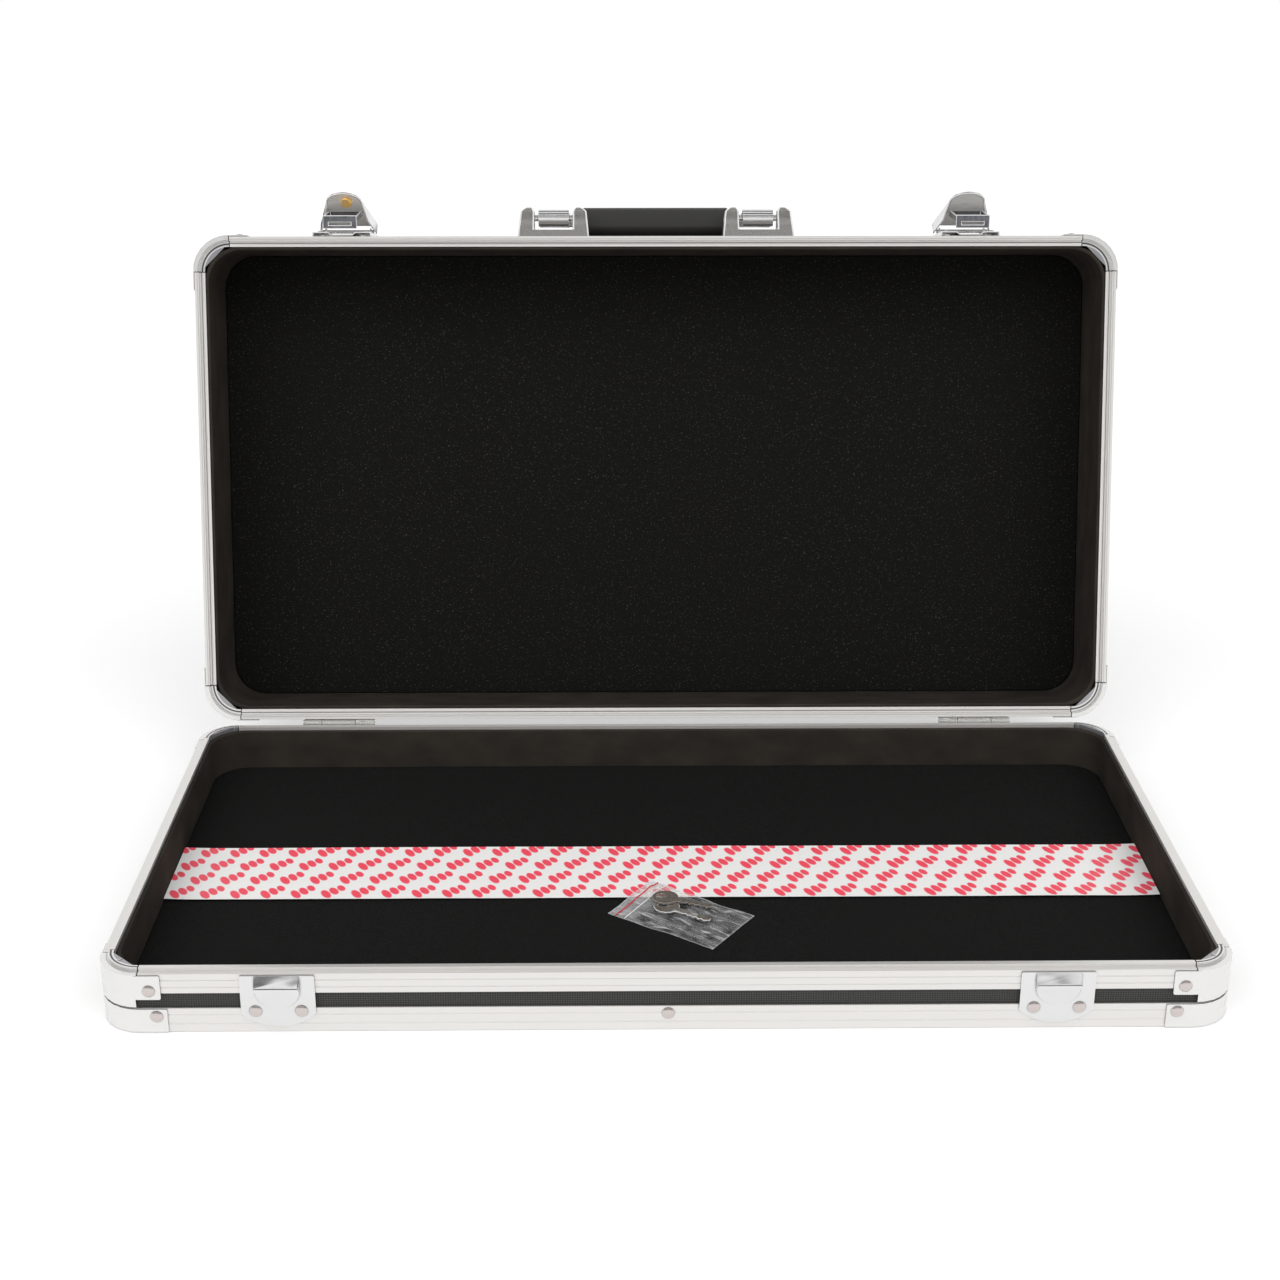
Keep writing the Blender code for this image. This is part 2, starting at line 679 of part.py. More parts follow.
def handle_bracket(name):
    """A cast bracket: two ears either side of a window, on the wall's skin."""
    base = GAP - SKIN
    half, top, window = BRACKET_BASE_WIDTH / 2, BRACKET_TOP_WIDTH / 2, BRACKET_WINDOW / 2
    high = BRACKET_HEIGHT
    ear = [(half, -base), (top + BRACKET_EAR_ROUND / 4, BRACKET_EAR_ROUND - high)]
    ear += [(top - BRACKET_EAR_ROUND, -high), (window + BRACKET_EAR_ROUND / 2, -high)]
    ear += [(window, BRACKET_EAR_ROUND - high), (window, -BRACKET_FLOOR)]
    outline = ear + [(-x, y) for x, y in ear[::-1]]
    length = BRACKET_LENGTH / 2
    bracket = prism(name, outline, -length, length, "Z", material=ZINC)
    crown = BRACKET_TOP_LENGTH / 2
    side = [(OVERRUN - base, -length), (-BRACKET_FLOOR, -length)]
    side += arc((crown - high, 0), crown, -QUARTER, -3 * QUARTER, HALF_ROUND_STEPS)
    side += [(-BRACKET_FLOOR, length), (OVERRUN - base, length)]
    combine(bracket, prism("crown", side, -half - OVERRUN, half + OVERRUN, "X"), "INTERSECT")
    bore = HANDLE_PIN_RADIUS + BORE_CLEARANCE
    centre = (-HANDLE_PIN_OUT, 0)
    return combine(bracket, rod("pin_bore", bore, -half - OVERRUN, half + OVERRUN, centre))


def handle_end(name, inward):
    """A barrel on the pin, an arm and a foot let into the grip. inward is the grip's side in X."""
    half = ARM_THICKNESS / 2
    bend = math.acos(half / KNOB_RADIUS)
    tip = HANDLE_REACH + GRIP_WIDTH / 2 - FOOT_INSET
    outline = arc((0, 0), KNOB_RADIUS, bend, -math.pi - bend, BARREL_STEPS)
    outline += [(-half, tip), (half, tip)]
    bore = circle((0, 0), HANDLE_PIN_RADIUS + BORE_CLEARANCE)
    width = KNOB_WIDTH / 2
    end = prism(name, outline, -width, width, "X", holes=[bore], material=CHROME)
    near = width - FOOT_INSET
    far = HANDLE_SPREAD - GRIP_LENGTH / 2 - GAP
    low = HANDLE_REACH - GRIP_WIDTH / 2 + FOOT_INSET
    sides = sorted((inward * near, inward * far))
    foot = block("foot", (sides[0], -half + GAP, low), (sides[1], half - GAP, tip - GAP))
    return combine(end, foot, "UNION")


def handle_grip(name):
    half = GRIP_LENGTH / 2
    middle = (GRIP_OFFSET, HANDLE_REACH)
    section = rounded_rectangle(GRIP_HEIGHT / 2, GRIP_WIDTH / 2, GRIP_ROUND, middle, GRIP_CORNER_STEPS)
    return prism(name, section, -half, half, "X", material=GRIP)


# Latches: a pan on the lid, a lever on the pan and a claw on the lever

def latch_pan(name):
    half = PAN_WIDTH / 2
    slope = PAN_DISH_WIDTH / 2
    line = [(-half, GAP), (-half, PAN_HEIGHT), (-slope - PAN_DISH_SLOPE, PAN_HEIGHT)]
    line += [(-slope, PAN_HEIGHT - PAN_DISH_DEPTH)]
    line += [(-x, out) for x, out in line[::-1]]
    section = [(x, -out) for x, out in thick_line(line, -PAN_SHEET)]
    pan = prism(name, section, PAN_START, PAN_START + PAN_LENGTH, "Z", material=CHROME)
    middle = (-LEVER_PIN_OUT, LEVER_PIN_RISE)
    root = PAN_SHEET / 2 - PAN_HEIGHT
    ear = [(root, LEVER_PIN_RISE - EAR_RADIUS)]
    ear += arc(middle, EAR_RADIUS, -QUARTER, -3 * QUARTER, HALF_ROUND_STEPS)
    ear += [(root, LEVER_PIN_RISE + EAR_RADIUS)]
    for side in (-1, 1):
        low = side * EAR_SPREAD - EAR_THICKNESS / 2
        combine(pan, prism("ear", ear, low, low + EAR_THICKNESS, "X"), "UNION")
    reach = LEVER_WIDTH / 2 - LEVER_SHEET - 2 * GAP
    return combine(pan, rod("lever_pin", LEVER_PIN_RADIUS, -reach, reach, middle), "UNION")


def lever_plan(inset, tail):
    """The lever from above: wide at its pin, narrow and round at its tip."""
    wide, narrow = LEVER_WIDTH / 2 - inset, LEVER_TIP_WIDTH / 2 - inset
    shoulder = LEVER_TIP_LENGTH - LEVER_LENGTH
    long = LEVER_TIP_LENGTH - inset
    tip = [(x * narrow, shoulder + z * long) for x, z in arc((0, 0), 1, 0, -math.pi, TIP_STEPS)]
    return [(wide, tail), (wide, 0)] + tip + [(-wide, 0), (-wide, tail)]


def lever_half_width(along):
    taper = (LEVER_WIDTH - LEVER_TIP_WIDTH) / 2 / (LEVER_LENGTH - LEVER_TIP_LENGTH)
    return LEVER_WIDTH / 2 - taper * along


def lever(name, locked):
    """A pressed channel: outer sheet and skirts that taper away towards the tip."""
    face = -LEVER_FACE_OUT
    skirt = face + LEVER_SKIRT
    rim = face + LEVER_RIM
    body = prism(name, lever_plan(0, LEVER_TAIL), face, skirt, "Y", material=CHROME)
    side = [(face - OVERRUN, LEVER_TAIL + OVERRUN), (skirt - LEVER_SHEET, LEVER_TAIL + OVERRUN)]
    side += [(skirt, -LEVER_TAIL), (skirt, -LEVER_SKIRT_START), (rim, -LEVER_SKIRT_END)]
    side += [(rim, -LEVER_LENGTH - OVERRUN), (face - OVERRUN, -LEVER_LENGTH - OVERRUN)]
    half = LEVER_WIDTH / 2 + OVERRUN
    combine(body, prism("skirt_line", side, -half, half, "X"), "INTERSECT")
    inside = lever_plan(LEVER_SHEET, LEVER_TAIL + OVERRUN)
    combine(body, prism("hollow", inside, face + LEVER_SHEET, skirt + OVERRUN, "Y"))
    if locked:
        hole = LOCK_RADIUS + GAP
        centre = (LOCK_ASIDE, -LOCK_ALONG)
        combine(body, rod("lock_hole", hole, face - OVERRUN, face + 2 * OVERRUN, centre, "Y", LOCK_SIDES))
    return body


def claw(name):
    """Two arms from the claw pin to a slotted hook plate."""
    half, deep = CLAW_WIDTH / 2, CLAW_ARM_DEPTH / 2
    plate = -CLAW_REACH
    foot = CATCH_LEVEL
    arm = arc((0, 0), deep, 0, math.pi, HALF_ROUND_STEPS)
    arm += [(-deep, plate - CLAW_SHEET), (deep, plate - CLAW_SHEET)]
    hook = block(name, (-half, -CLAW_TOP_OUT, plate - CLAW_SHEET), (half, foot, plate), CHROME)
    for left in (-half, half - CLAW_SHEET):
        combine(hook, prism("claw_arm", arm, left, left + CLAW_SHEET, "X"), "UNION")
    reach = lever_half_width(CLAW_PIN_ALONG + CLAW_PIN_RADIUS) - LEVER_SHEET - 2 * GAP
    combine(hook, rod("claw_pin", CLAW_PIN_RADIUS, -reach, reach), "UNION")
    slot = CLAW_SLOT_WIDTH / 2
    high = foot - CLAW_BAR
    low = high - CLAW_SLOT_DEPTH
    cut = block("slot", (-slot, low, plate - CLAW_SHEET - OVERRUN), (slot, high, plate + OVERRUN))
    return combine(hook, cut)


def lock(name):
    """The key barrel, with its cam on the inner end."""
    face = -LEVER_FACE_OUT - LOCK_PROUD
    low = face + LOCK_DEPTH
    barrel = rod(name, LOCK_RADIUS, face, low, axis="Y", steps=LOCK_SIDES, material=BRASS)
    half = CAM_WIDTH / 2
    outline = arc((0, 0), half, math.pi, 0, HALF_ROUND_STEPS)
    outline += arc((0, half - CAM_LENGTH), half, 0, -math.pi, HALF_ROUND_STEPS)
    cam = prism("cam", outline, low - CAM_THICKNESS / 2, low + CAM_THICKNESS, "Y")
    return combine(barrel, cam, "UNION")


# Things lying in the tray

def tape_strip(name):
    half = STRIP_LENGTH / 2
    low = FLOOR + TRAY_FOAM_THICKNESS + GAP
    end = []
    for step in range(STRIP_CURL_STEPS + 1):
        share = step / STRIP_CURL_STEPS
        lift = STRIP_CURL_HEIGHT * (1 - share) ** 2
        end.append((-half + share * STRIP_CURL_LENGTH, low + lift))
    line = end + [(-x, z) for x, z in end[::-1]]
    wide = STRIP_WIDTH / 2
    return prism(name, thick_line(line, STRIP_THICKNESS), -wide, wide, "Y", material=LINER)


def bag_section(seam, film):
    """The bag's cross-section: full height in the middle, thin at both edges."""
    wide, high = BAG_WIDTH / 2 - seam, BAG_HEIGHT - film
    flat = BAG_FLAT_SHARE * wide
    lip = BAG_HEIGHT / 2 - film
    return [(-wide, lip), (-flat, film), (flat, film), (wide, lip), (flat, high), (-flat, high)]


def key_bag(name):
    half = BAG_LENGTH / 2
    bag = prism(name, bag_section(0, 0), -half, half, "X", material=FILM)
    inside = prism("inside", bag_section(BAG_SEAM, BAG_FILM), -half - OVERRUN, half - BAG_FILM, "X")
    return combine(bag, inside)


def key(name):
    half = KEY_SHANK_WIDTH / 2
    bend = math.asin(half / KEY_BOW_RADIUS)
    outline = arc((0, 0), KEY_BOW_RADIUS, 2 * math.pi - bend, bend, BARREL_STEPS)
    outline += [(KEY_LENGTH - KEY_NOTCH, half), (KEY_LENGTH, 0)]
    start = KEY_BOW_RADIUS + KEY_SHANK_WIDTH
    pitch = (KEY_LENGTH - start) / KEY_TEETH
    for tooth in range(KEY_TEETH):
        x = KEY_LENGTH - (tooth + 1 / 2) * pitch
        outline += [(x, KEY_NOTCH - half), (x - pitch / 2, -half)]
    hole = circle((-KEY_BOW_RADIUS / 3, 0), KEY_BOW_HOLE, SMALL_BORE_SIDES)
    return prism(name, outline, 0, KEY_THICKNESS, holes=[hole], material=CHROME)


# Assembly

print("tray")
build_shell("tray", TRAY_HEIGHT, TRAY_FOAM_THICKNESS, False, ("front", "right", "back", "left"))

print("lid")
hinge_y = HALF_DEPTH + HINGE_AXIS_OUT
lid_axis = empty("lid_axis", (0, hinge_y, TRAY_HEIGHT), turn=-LID_OPEN_ANGLE)
lid = build_shell("lid", LID_HEIGHT, LID_FOAM_THICKNESS, True, ("back", "right", "front", "left"))
lid_turn = Matrix.Translation((0, -hinge_y, GAP + LID_HEIGHT)) @ Matrix.Rotation(math.pi, 4, "X")
for piece in lid.values():
    hang(piece, lid_axis, lid_turn @ piece.matrix_basis)
wall = Matrix.Translation((0, -HALF_DEPTH - hinge_y, GAP))

print("hinges and catches")
for side, word in ((-1, "left"), (1, "right")):
    x = side * HINGE_SPREAD
    leaf = hinge_leaf(f"tray_hinge_leaf_{word}", -1)
    leaf.location = (x, hinge_y, TRAY_HEIGHT)
    hang(hinge_leaf(f"lid_hinge_leaf_{word}", 1), lid_axis, Matrix.Translation((x, 0, 0)))
    length = HINGE_WIDTH / 2 - GAP
    pin = rod(f"hinge_pin_{word}", HINGE_PIN_RADIUS, -length, length, material=CHROME)
    pin.location = (x, hinge_y, TRAY_HEIGHT)
    plate = catch_plate(f"catch_plate_{word}")
    plate.location = (side * LATCH_SPREAD, 0, 0)

print("handle")
handle_place = wall @ Matrix.Translation((0, -HANDLE_PIN_OUT, HANDLE_RISE))
handle_axis = empty("handle_axis", handle_place.to_translation(), lid_axis)
for side, word in ((-1, "left"), (1, "right")):
    x = side * HANDLE_SPREAD
    spot = wall @ Matrix.Translation((x, 0, HANDLE_RISE))
    hang(handle_bracket(f"handle_bracket_{word}"), lid_axis, spot)
    length = BRACKET_TOP_WIDTH / 2
    pin = rod(f"handle_pin_{word}", HANDLE_PIN_RADIUS, -length, length, material=CHROME)
    hang(pin, lid_axis, spot @ Matrix.Translation((0, -HANDLE_PIN_OUT, 0)))
    hang(handle_end(f"handle_end_{word}", -side), handle_axis, Matrix.Translation((x, 0, 0)))
hang(handle_grip("handle_grip"), handle_axis)

print("latches")
lever_place = Matrix.Translation((0, -LEVER_PIN_OUT, LEVER_PIN_RISE))
claw_place = Vector((0, -CLAW_PIN_OUT, -CLAW_PIN_ALONG))
for side, word in ((-1, "left"), (1, "right")):
    spot = wall @ Matrix.Translation((side * LATCH_SPREAD, 0, 0))
    hang(latch_pan(f"latch_pan_{word}"), lid_axis, spot)
    lever_spot = (spot @ lever_place).to_translation()
    axis = empty(f"lever_axis_{word}", lever_spot, lid_axis, -LEVER_OPEN_ANGLE)
    hang(lever(f"latch_lever_{word}", side < 0), axis)
    claw_axis = empty(f"claw_axis_{word}", claw_place, axis, CLAW_REST_TURN)
    hang(claw(f"latch_claw_{word}"), claw_axis)
    if side < 0:
        lock_axis = empty("lock_axis", (LOCK_ASIDE, 0, -LOCK_ALONG), axis)
        hang(lock("lever_lock"), lock_axis)

print("contents")
tape_strip("tape_strip").location = (0, STRIP_PLACE_Y, 0)
bag_low = FLOOR + TRAY_FOAM_THICKNESS + 2 * GAP + STRIP_THICKNESS
bag_place = Matrix.Translation((BAG_PLACE_X, BAG_PLACE_Y, bag_low)) @ turn_z(BAG_ANGLE)
key_bag("key_bag").matrix_world = bag_place
key_place = bag_place @ Matrix.Translation((-KEY_LENGTH / 3, 0, BAG_FILM + GAP))
key("key_lower").matrix_world = key_place
upper = Matrix.Translation((-KEY_BACK, KEY_SPREAD, KEY_THICKNESS + GAP)) @ turn_z(KEY_TURN)
key("key_upper").matrix_world = key_place @ upper
for item in PARTS.objects:
    if len(item.data.polygons) > SMOOTH_FROM_FACES:
        smooth(item)
print(len(PARTS.objects), "pieces")
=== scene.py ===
import json
import math

import bmesh
import bpy
from mathutils import Matrix, Vector, noise


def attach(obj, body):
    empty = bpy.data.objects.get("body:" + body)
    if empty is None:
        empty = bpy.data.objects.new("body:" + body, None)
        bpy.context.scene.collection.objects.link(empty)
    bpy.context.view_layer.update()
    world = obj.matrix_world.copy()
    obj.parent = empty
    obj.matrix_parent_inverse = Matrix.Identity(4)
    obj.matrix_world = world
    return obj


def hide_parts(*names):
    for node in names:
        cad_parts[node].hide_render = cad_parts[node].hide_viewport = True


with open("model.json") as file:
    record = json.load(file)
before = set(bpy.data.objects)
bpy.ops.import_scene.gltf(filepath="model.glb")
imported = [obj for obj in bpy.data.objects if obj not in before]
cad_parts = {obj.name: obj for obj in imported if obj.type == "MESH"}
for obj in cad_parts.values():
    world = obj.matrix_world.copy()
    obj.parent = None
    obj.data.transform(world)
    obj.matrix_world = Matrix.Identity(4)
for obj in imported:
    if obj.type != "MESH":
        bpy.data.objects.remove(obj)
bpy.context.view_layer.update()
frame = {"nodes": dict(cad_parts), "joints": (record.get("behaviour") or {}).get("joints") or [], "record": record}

mm = 0.001
perMetre = 1000  # millimetres in a metre
quarter = math.pi / 2
collection = bpy.context.scene.collection
bodyOf = {node: body for body, nodes in frame["record"]["behaviour"]["bodies"].items() for node in nodes}
joints = {joint["name"]: joint for joint in frame["joints"]}

# The lid stands open. Places on it are worked out on the shut case, and then turned with it.
hingePlace = Vector(joints["lid_hinge"]["pos_m"])
openAngle = math.radians(max(joints["lid_hinge"]["range_deg"]))
openTurn = Matrix.Rotation(-openAngle, 4, "X")
shutToOpen = Matrix.Translation(hingePlace) @ openTurn @ Matrix.Translation(-hingePlace)
openToShut = shutToOpen.inverted()

case = {
    "halfWidth": 344.0 * mm,
    "halfDepth": 181.5 * mm,
    "trayHeight": 40.0 * mm,
    "gap": 0.3 * mm,
    "corner": 26.0 * mm,
    "shutTop": 115.3 * mm,
}

bag = {
    "length": 82.0 * mm,
    "width": 51.0 * mm,
    "x": 11.3 * mm,
    "y": -60.6 * mm,
    "turn": math.radians(-34.6),
    "low": 11.9 * mm,
    "high": 16.3 * mm,
    "floor": 10.4 * mm,
    "redZip": 6.0 * mm,  # from the open end
    "whiteZip": 13.0 * mm,
    "bead": 0.45 * mm,
    "columns": 110,
    "rows": 70,
    "lowerFrom": 200.0,  # the lower sheet's columns are numbered on from here
}


# Materials

def srgb(text):
    parts = [int(text[i:i + 2], 16) / 255 for i in (0, 2, 4)]
    return (*[p / 12.92 if p <= 0.04045 else ((p + 0.055) / 1.055) ** 2.4 for p in parts], 1)


def addNode(tree, kind, inputs=(), out=0, **settings):
    # The inputs are a list in the node's own order, or a dictionary by name or number. Each one is a
    # value, or the socket that feeds it. The output asked for is given back.
    node = tree.nodes.new(kind)
    for key, value in settings.items():
        setattr(node, key, value)
    for key, value in inputs.items() if isinstance(inputs, dict) else enumerate(inputs):
        if isinstance(value, bpy.types.NodeSocket):
            tree.links.new(value, node.inputs[key])
        else:
            node.inputs[key].default_value = value
    return node.outputs[out] if node.outputs else None


def startMaterial(name, colour, roughness, metallic=0.0, **sockets):
    made = bpy.data.materials.new(name)
    made.use_nodes = True
    shader = made.node_tree.nodes["Principled BSDF"]
    shader.inputs["Base Color"].default_value = srgb(colour)
    shader.inputs["Roughness"].default_value = roughness
    shader.inputs["Metallic"].default_value = metallic
    for key, value in sockets.items():
        shader.inputs[key.replace("_", " ")].default_value = value
    return made, made.node_tree, shader


def casePlace(tree, scale=(1, 1, 1), start=(0, 0, 0)):
    # The place on the shut case in mm, which tray and lid share, scaled for a pattern
    place = addNode(tree, "ShaderNodeAttribute", out="Vector", attribute_name="casePlace")
    return addNode(tree, "ShaderNodeMapping", {"Vector": place, "Scale": scale, "Location": start})


def dress(tree, shader, pattern, rough=None, colours=None, limits=(0.3, 0.7), relief=None):
    # What a pattern does to a finish: it spreads the roughness, runs from one colour to another
    # between its limits, and lifts the surface by a depth in mm and a strength
    if rough:
        spread = addNode(tree, "ShaderNodeMapRange", [pattern, 0.3, 0.7, *rough])
        tree.links.new(spread, shader.inputs["Roughness"])
    if colours:
        share = addNode(tree, "ShaderNodeMapRange", [pattern, *limits, 0.0, 1.0])
        mix = {0: share, 6: srgb(colours[0]), 7: srgb(colours[1])}
        shade = addNode(tree, "ShaderNodeMix", mix, 2, data_type="RGBA")
        tree.links.new(shade, shader.inputs["Base Color"])
    if relief:
        lift = {"Height": pattern, "Distance": relief[0] * mm, "Strength": relief[1]}
        tree.links.new(addNode(tree, "ShaderNodeBump", lift), shader.inputs["Normal"])


def grain(tree, shader, scale, detail, **effects):
    # Noise that keeps its place on the shut case, with a scale in features per mm along x, y and z
    inputs = {"Vector": casePlace(tree, scale), "Scale": 1.0, "Detail": detail}
    dress(tree, shader, addNode(tree, "ShaderNodeTexNoise", inputs), **effects)


def paintedCreviceShade(tree, shader, colour, crevice, reach, unshadedFrom=0.8):
    # Painted shade: the same metal, its colour darkened by ambient occlusion in its grooves and along its laps, as
    # far as the reach in mm
    near = addNode(tree, "ShaderNodeAmbientOcclusion", {"Distance": reach * mm}, "AO", samples=6)
    share = addNode(tree, "ShaderNodeMapRange", [near, 0.15, unshadedFrom, 0.0, 1.0])
    mix = {0: share, 6: srgb(crevice), 7: srgb(colour)}
    shade = addNode(tree, "ShaderNodeMix", mix, 2, data_type="RGBA")
    tree.links.new(shade, shader.inputs["Base Color"])
    return shade


def awayFrom(tree, value, middle):
    away = addNode(tree, "ShaderNodeMath", [value, middle], operation="SUBTRACT")
    return addNode(tree, "ShaderNodeMath", [away], operation="ABSOLUTE")


def cornerArc(tree):
    # mm from the middle of the nearest rounded corner of the case, seen from above
    parts = addNode(tree, "ShaderNodeSeparateXYZ", [casePlace(tree)]).node.outputs
    square = 0.0
    for part, half in zip(parts, (case["halfWidth"], case["halfDepth"])):
        far = addNode(tree, "ShaderNodeMath", [part], operation="ABSOLUTE")
        middle = (half - case["corner"]) * perMetre
        far = addNode(tree, "ShaderNodeMath", [far, middle], operation="SUBTRACT")
        square = addNode(tree, "ShaderNodeMath", [far, far, square], operation="MULTIPLY_ADD")
    return addNode(tree, "ShaderNodeMath", [square], operation="SQRT")


def railAluminium():
    # Extruded and clear anodised: nearly white, with faint die lines that run along each rail. The
    # oxide scatters some light, so that it isn't wholly a mirror.
    made, tree, shader = startMaterial("anodised_aluminium_extrusion", "E6E4E1", 0.36, 0.62)
    grain(tree, shader, (0.0002, 0.0002, 1.6), 2.0, rough=(0.33, 0.38), relief=(0.01, 0.2))
    # Painted shade in the rails' grooves and laps, within 1.1 mm
    shade = paintedCreviceShade(tree, shader, "E7E5E2", "7E7C79", 1.1, 0.6)
    # Two fine grooves run along the lid's joint face, and their shade is painted as dark lines: each one's mm in
    # from the outer side, the mm above the joint where its face begins, and its strength
    x, y, height = addNode(tree, "ShaderNodeSeparateXYZ", [casePlace(tree)]).node.outputs
    inwards = []
    for part, half in ((x, case["halfWidth"]), (y, case["halfDepth"])):
        part = addNode(tree, "ShaderNodeMath", [part], operation="ABSOLUTE")
        inwards.append(addNode(tree, "ShaderNodeMath", [half * perMetre, part], operation="SUBTRACT"))
    inwards = addNode(tree, "ShaderNodeMath", inwards, operation="MINIMUM")
    joint = case["trayHeight"] * perMetre
    lowDown = addNode(tree, "ShaderNodeMapRange", [height, joint + 5.5, joint + 6.0, 1.0, 0.0])
    for middle, above, strength in ((2.1, 0.1, 0.35), (4.9, 2.4, 0.9)):
        away = awayFrom(tree, inwards, middle)
        start = joint + above
        highUp = addNode(tree, "ShaderNodeMapRange", [height, start, start + 0.1, 0.0, 1.0])
        grooveShade = addNode(tree, "ShaderNodeMapRange", [away, 0.2, 0.65, strength, 0.0])
        for mask in (highUp, lowDown):
            grooveShade = addNode(tree, "ShaderNodeMath", [grooveShade, mask], operation="MULTIPLY")
        mix = {0: grooveShade, 6: shade, 7: srgb("827F7C")}
        shade = addNode(tree, "ShaderNodeMix", mix, 2, data_type="RGBA")
    tree.links.new(shade, shader.inputs["Base Color"])
    return made


def cornerSheet():
    # Pressed aluminium sheet, buffed: soft clouds in the sheen and shallow dents
    made, tree, shader = startMaterial("buffed_aluminium_sheet", "E4E3E1", 0.2, 0.6)
    grain(tree, shader, (0.12, 0.12, 0.12), 4.0, rough=(0.16, 0.26))
    grain(tree, shader, (0.05, 0.05, 0.05), 1.0, relief=(0.3, 0.3))
    # Painted shade in the corner sheets' hollows and along their laps, within 1.8 mm
    shade = paintedCreviceShade(tree, shader, "E9E8E6", "7C7B79", 1.8)
    # Two pressed grooves follow the rim's curve on each corner's gusset, and their shade is painted as dark lines;
    # inside them lies a duller field: mm from the corner's middle, mm where the tone is full and where it ends
    arc = cornerArc(tree)
    for middle, full, end, tone in ((23.3, 0.12, 0.3, "98989A"), (20.5, 0.36, 0.9, "545457")):
        away = awayFrom(tree, arc, middle)
        grooveShade = addNode(tree, "ShaderNodeMapRange", [away, full, end, 1.0, 0.0])
        shade = addNode(tree, "ShaderNodeMix", {0: grooveShade, 6: shade, 7: srgb(tone)}, 2, data_type="RGBA")
    inner = addNode(tree, "ShaderNodeMapRange", [arc, 18.6, 19.0, 1.0, 0.0])
    shade = addNode(tree, "ShaderNodeMix", {0: inner, 6: shade, 7: srgb("A2A2A6")}, 2, data_type="RGBA")
    tree.links.new(shade, shader.inputs["Base Color"])
    return made


def brightPlate(name="chrome_plated_steel", colour="E2E2E2", low=0.05, high=0.14):
    # Bright plate on pressed steel: mirror-like, with the press's slight waves in the reflections
    made, tree, shader = startMaterial(name, colour, low, 0.9)
    grain(tree, shader, (0.07, 0.07, 0.13), 0.4, rough=(low, high), relief=(0.6, 0.3))
    # Painted shade in the plate's hollows and along its laps, within 1.8 mm
    paintedCreviceShade(tree, shader, colour, "5A595C", 1.8, 0.93)
    return made


def keyMetal():
    # Stamped nickel silver: a soft warm grey, faintly mottled from rolling
    made, tree, shader = startMaterial("nickel_silver", "8A8179", 0.3, 0.5)
    mottle = {"rough": (0.22, 0.36), "colours": ("7A726B", "9C9288"), "limits": (0.0, 1.0)}
    grain(tree, shader, (0.4, 0.4, 0.4), 3.0, **mottle)
    return made


def paintedEdgeHighlight():
    # Painted highlight on the rounded edges of pressed and cast parts: a thin near-white line round each face
    made, tree, shader = startMaterial("painted_edge_highlight", "F8F7F6", 0.16, 0.2)
    grain(tree, shader, (0.4, 0.4, 0.4), 2.0, rough=(0.1, 0.28))
    return made


def darkenedClawPlate():
    # Plated spring steel, painted darker than the lever as painted shade and dark reflection
    made, tree, shader = startMaterial("nickel_plate_painted_dark", "74757A", 0.16, 0.9)
    grain(tree, shader, (0.5, 0.12, 0.12), 3.0, rough=(0.1, 0.26), colours=("505155", "75767B"))
    return made


def paleLeverInside():
    # The inner side of the pressed lever, which lies in shade: a plate painted near white as painted light for the
    # bright floor that it mirrors, with faint press marks
    made, tree, shader = startMaterial("lever_inside_painted_light", "F0EEEB", 0.25, 0.1)
    grain(tree, shader, (0.15, 0.5, 0.5), 3.0, colours=("EAE8E5", "F6F4F1"), relief=(0.05, 0.4))
    return made


def castZinc():
    # Die-cast zinc, satin plated: a soft grey with a fine pebbled skin
    made, tree, shader = startMaterial("die_cast_zinc", "B9B8B6", 0.3, 0.9)
    grain(tree, shader, (1.4, 1.4, 1.4), 3.0, rough=(0.24, 0.42), relief=(0.04, 0.35))
    # Painted shade in the casting's hollows and along its laps, within 1.6 mm
    paintedCreviceShade(tree, shader, "ADABA8", "65635F", 1.6)
    return made


def polishedBrass():
    # Machined brass: warm yellow, with turning marks
    made, tree, shader = startMaterial("turned_brass", "F9CB78", 0.2, 0.2)
    grain(tree, shader, (2.5, 0.6, 0.6), 2.0, rough=(0.12, 0.3))
    return made


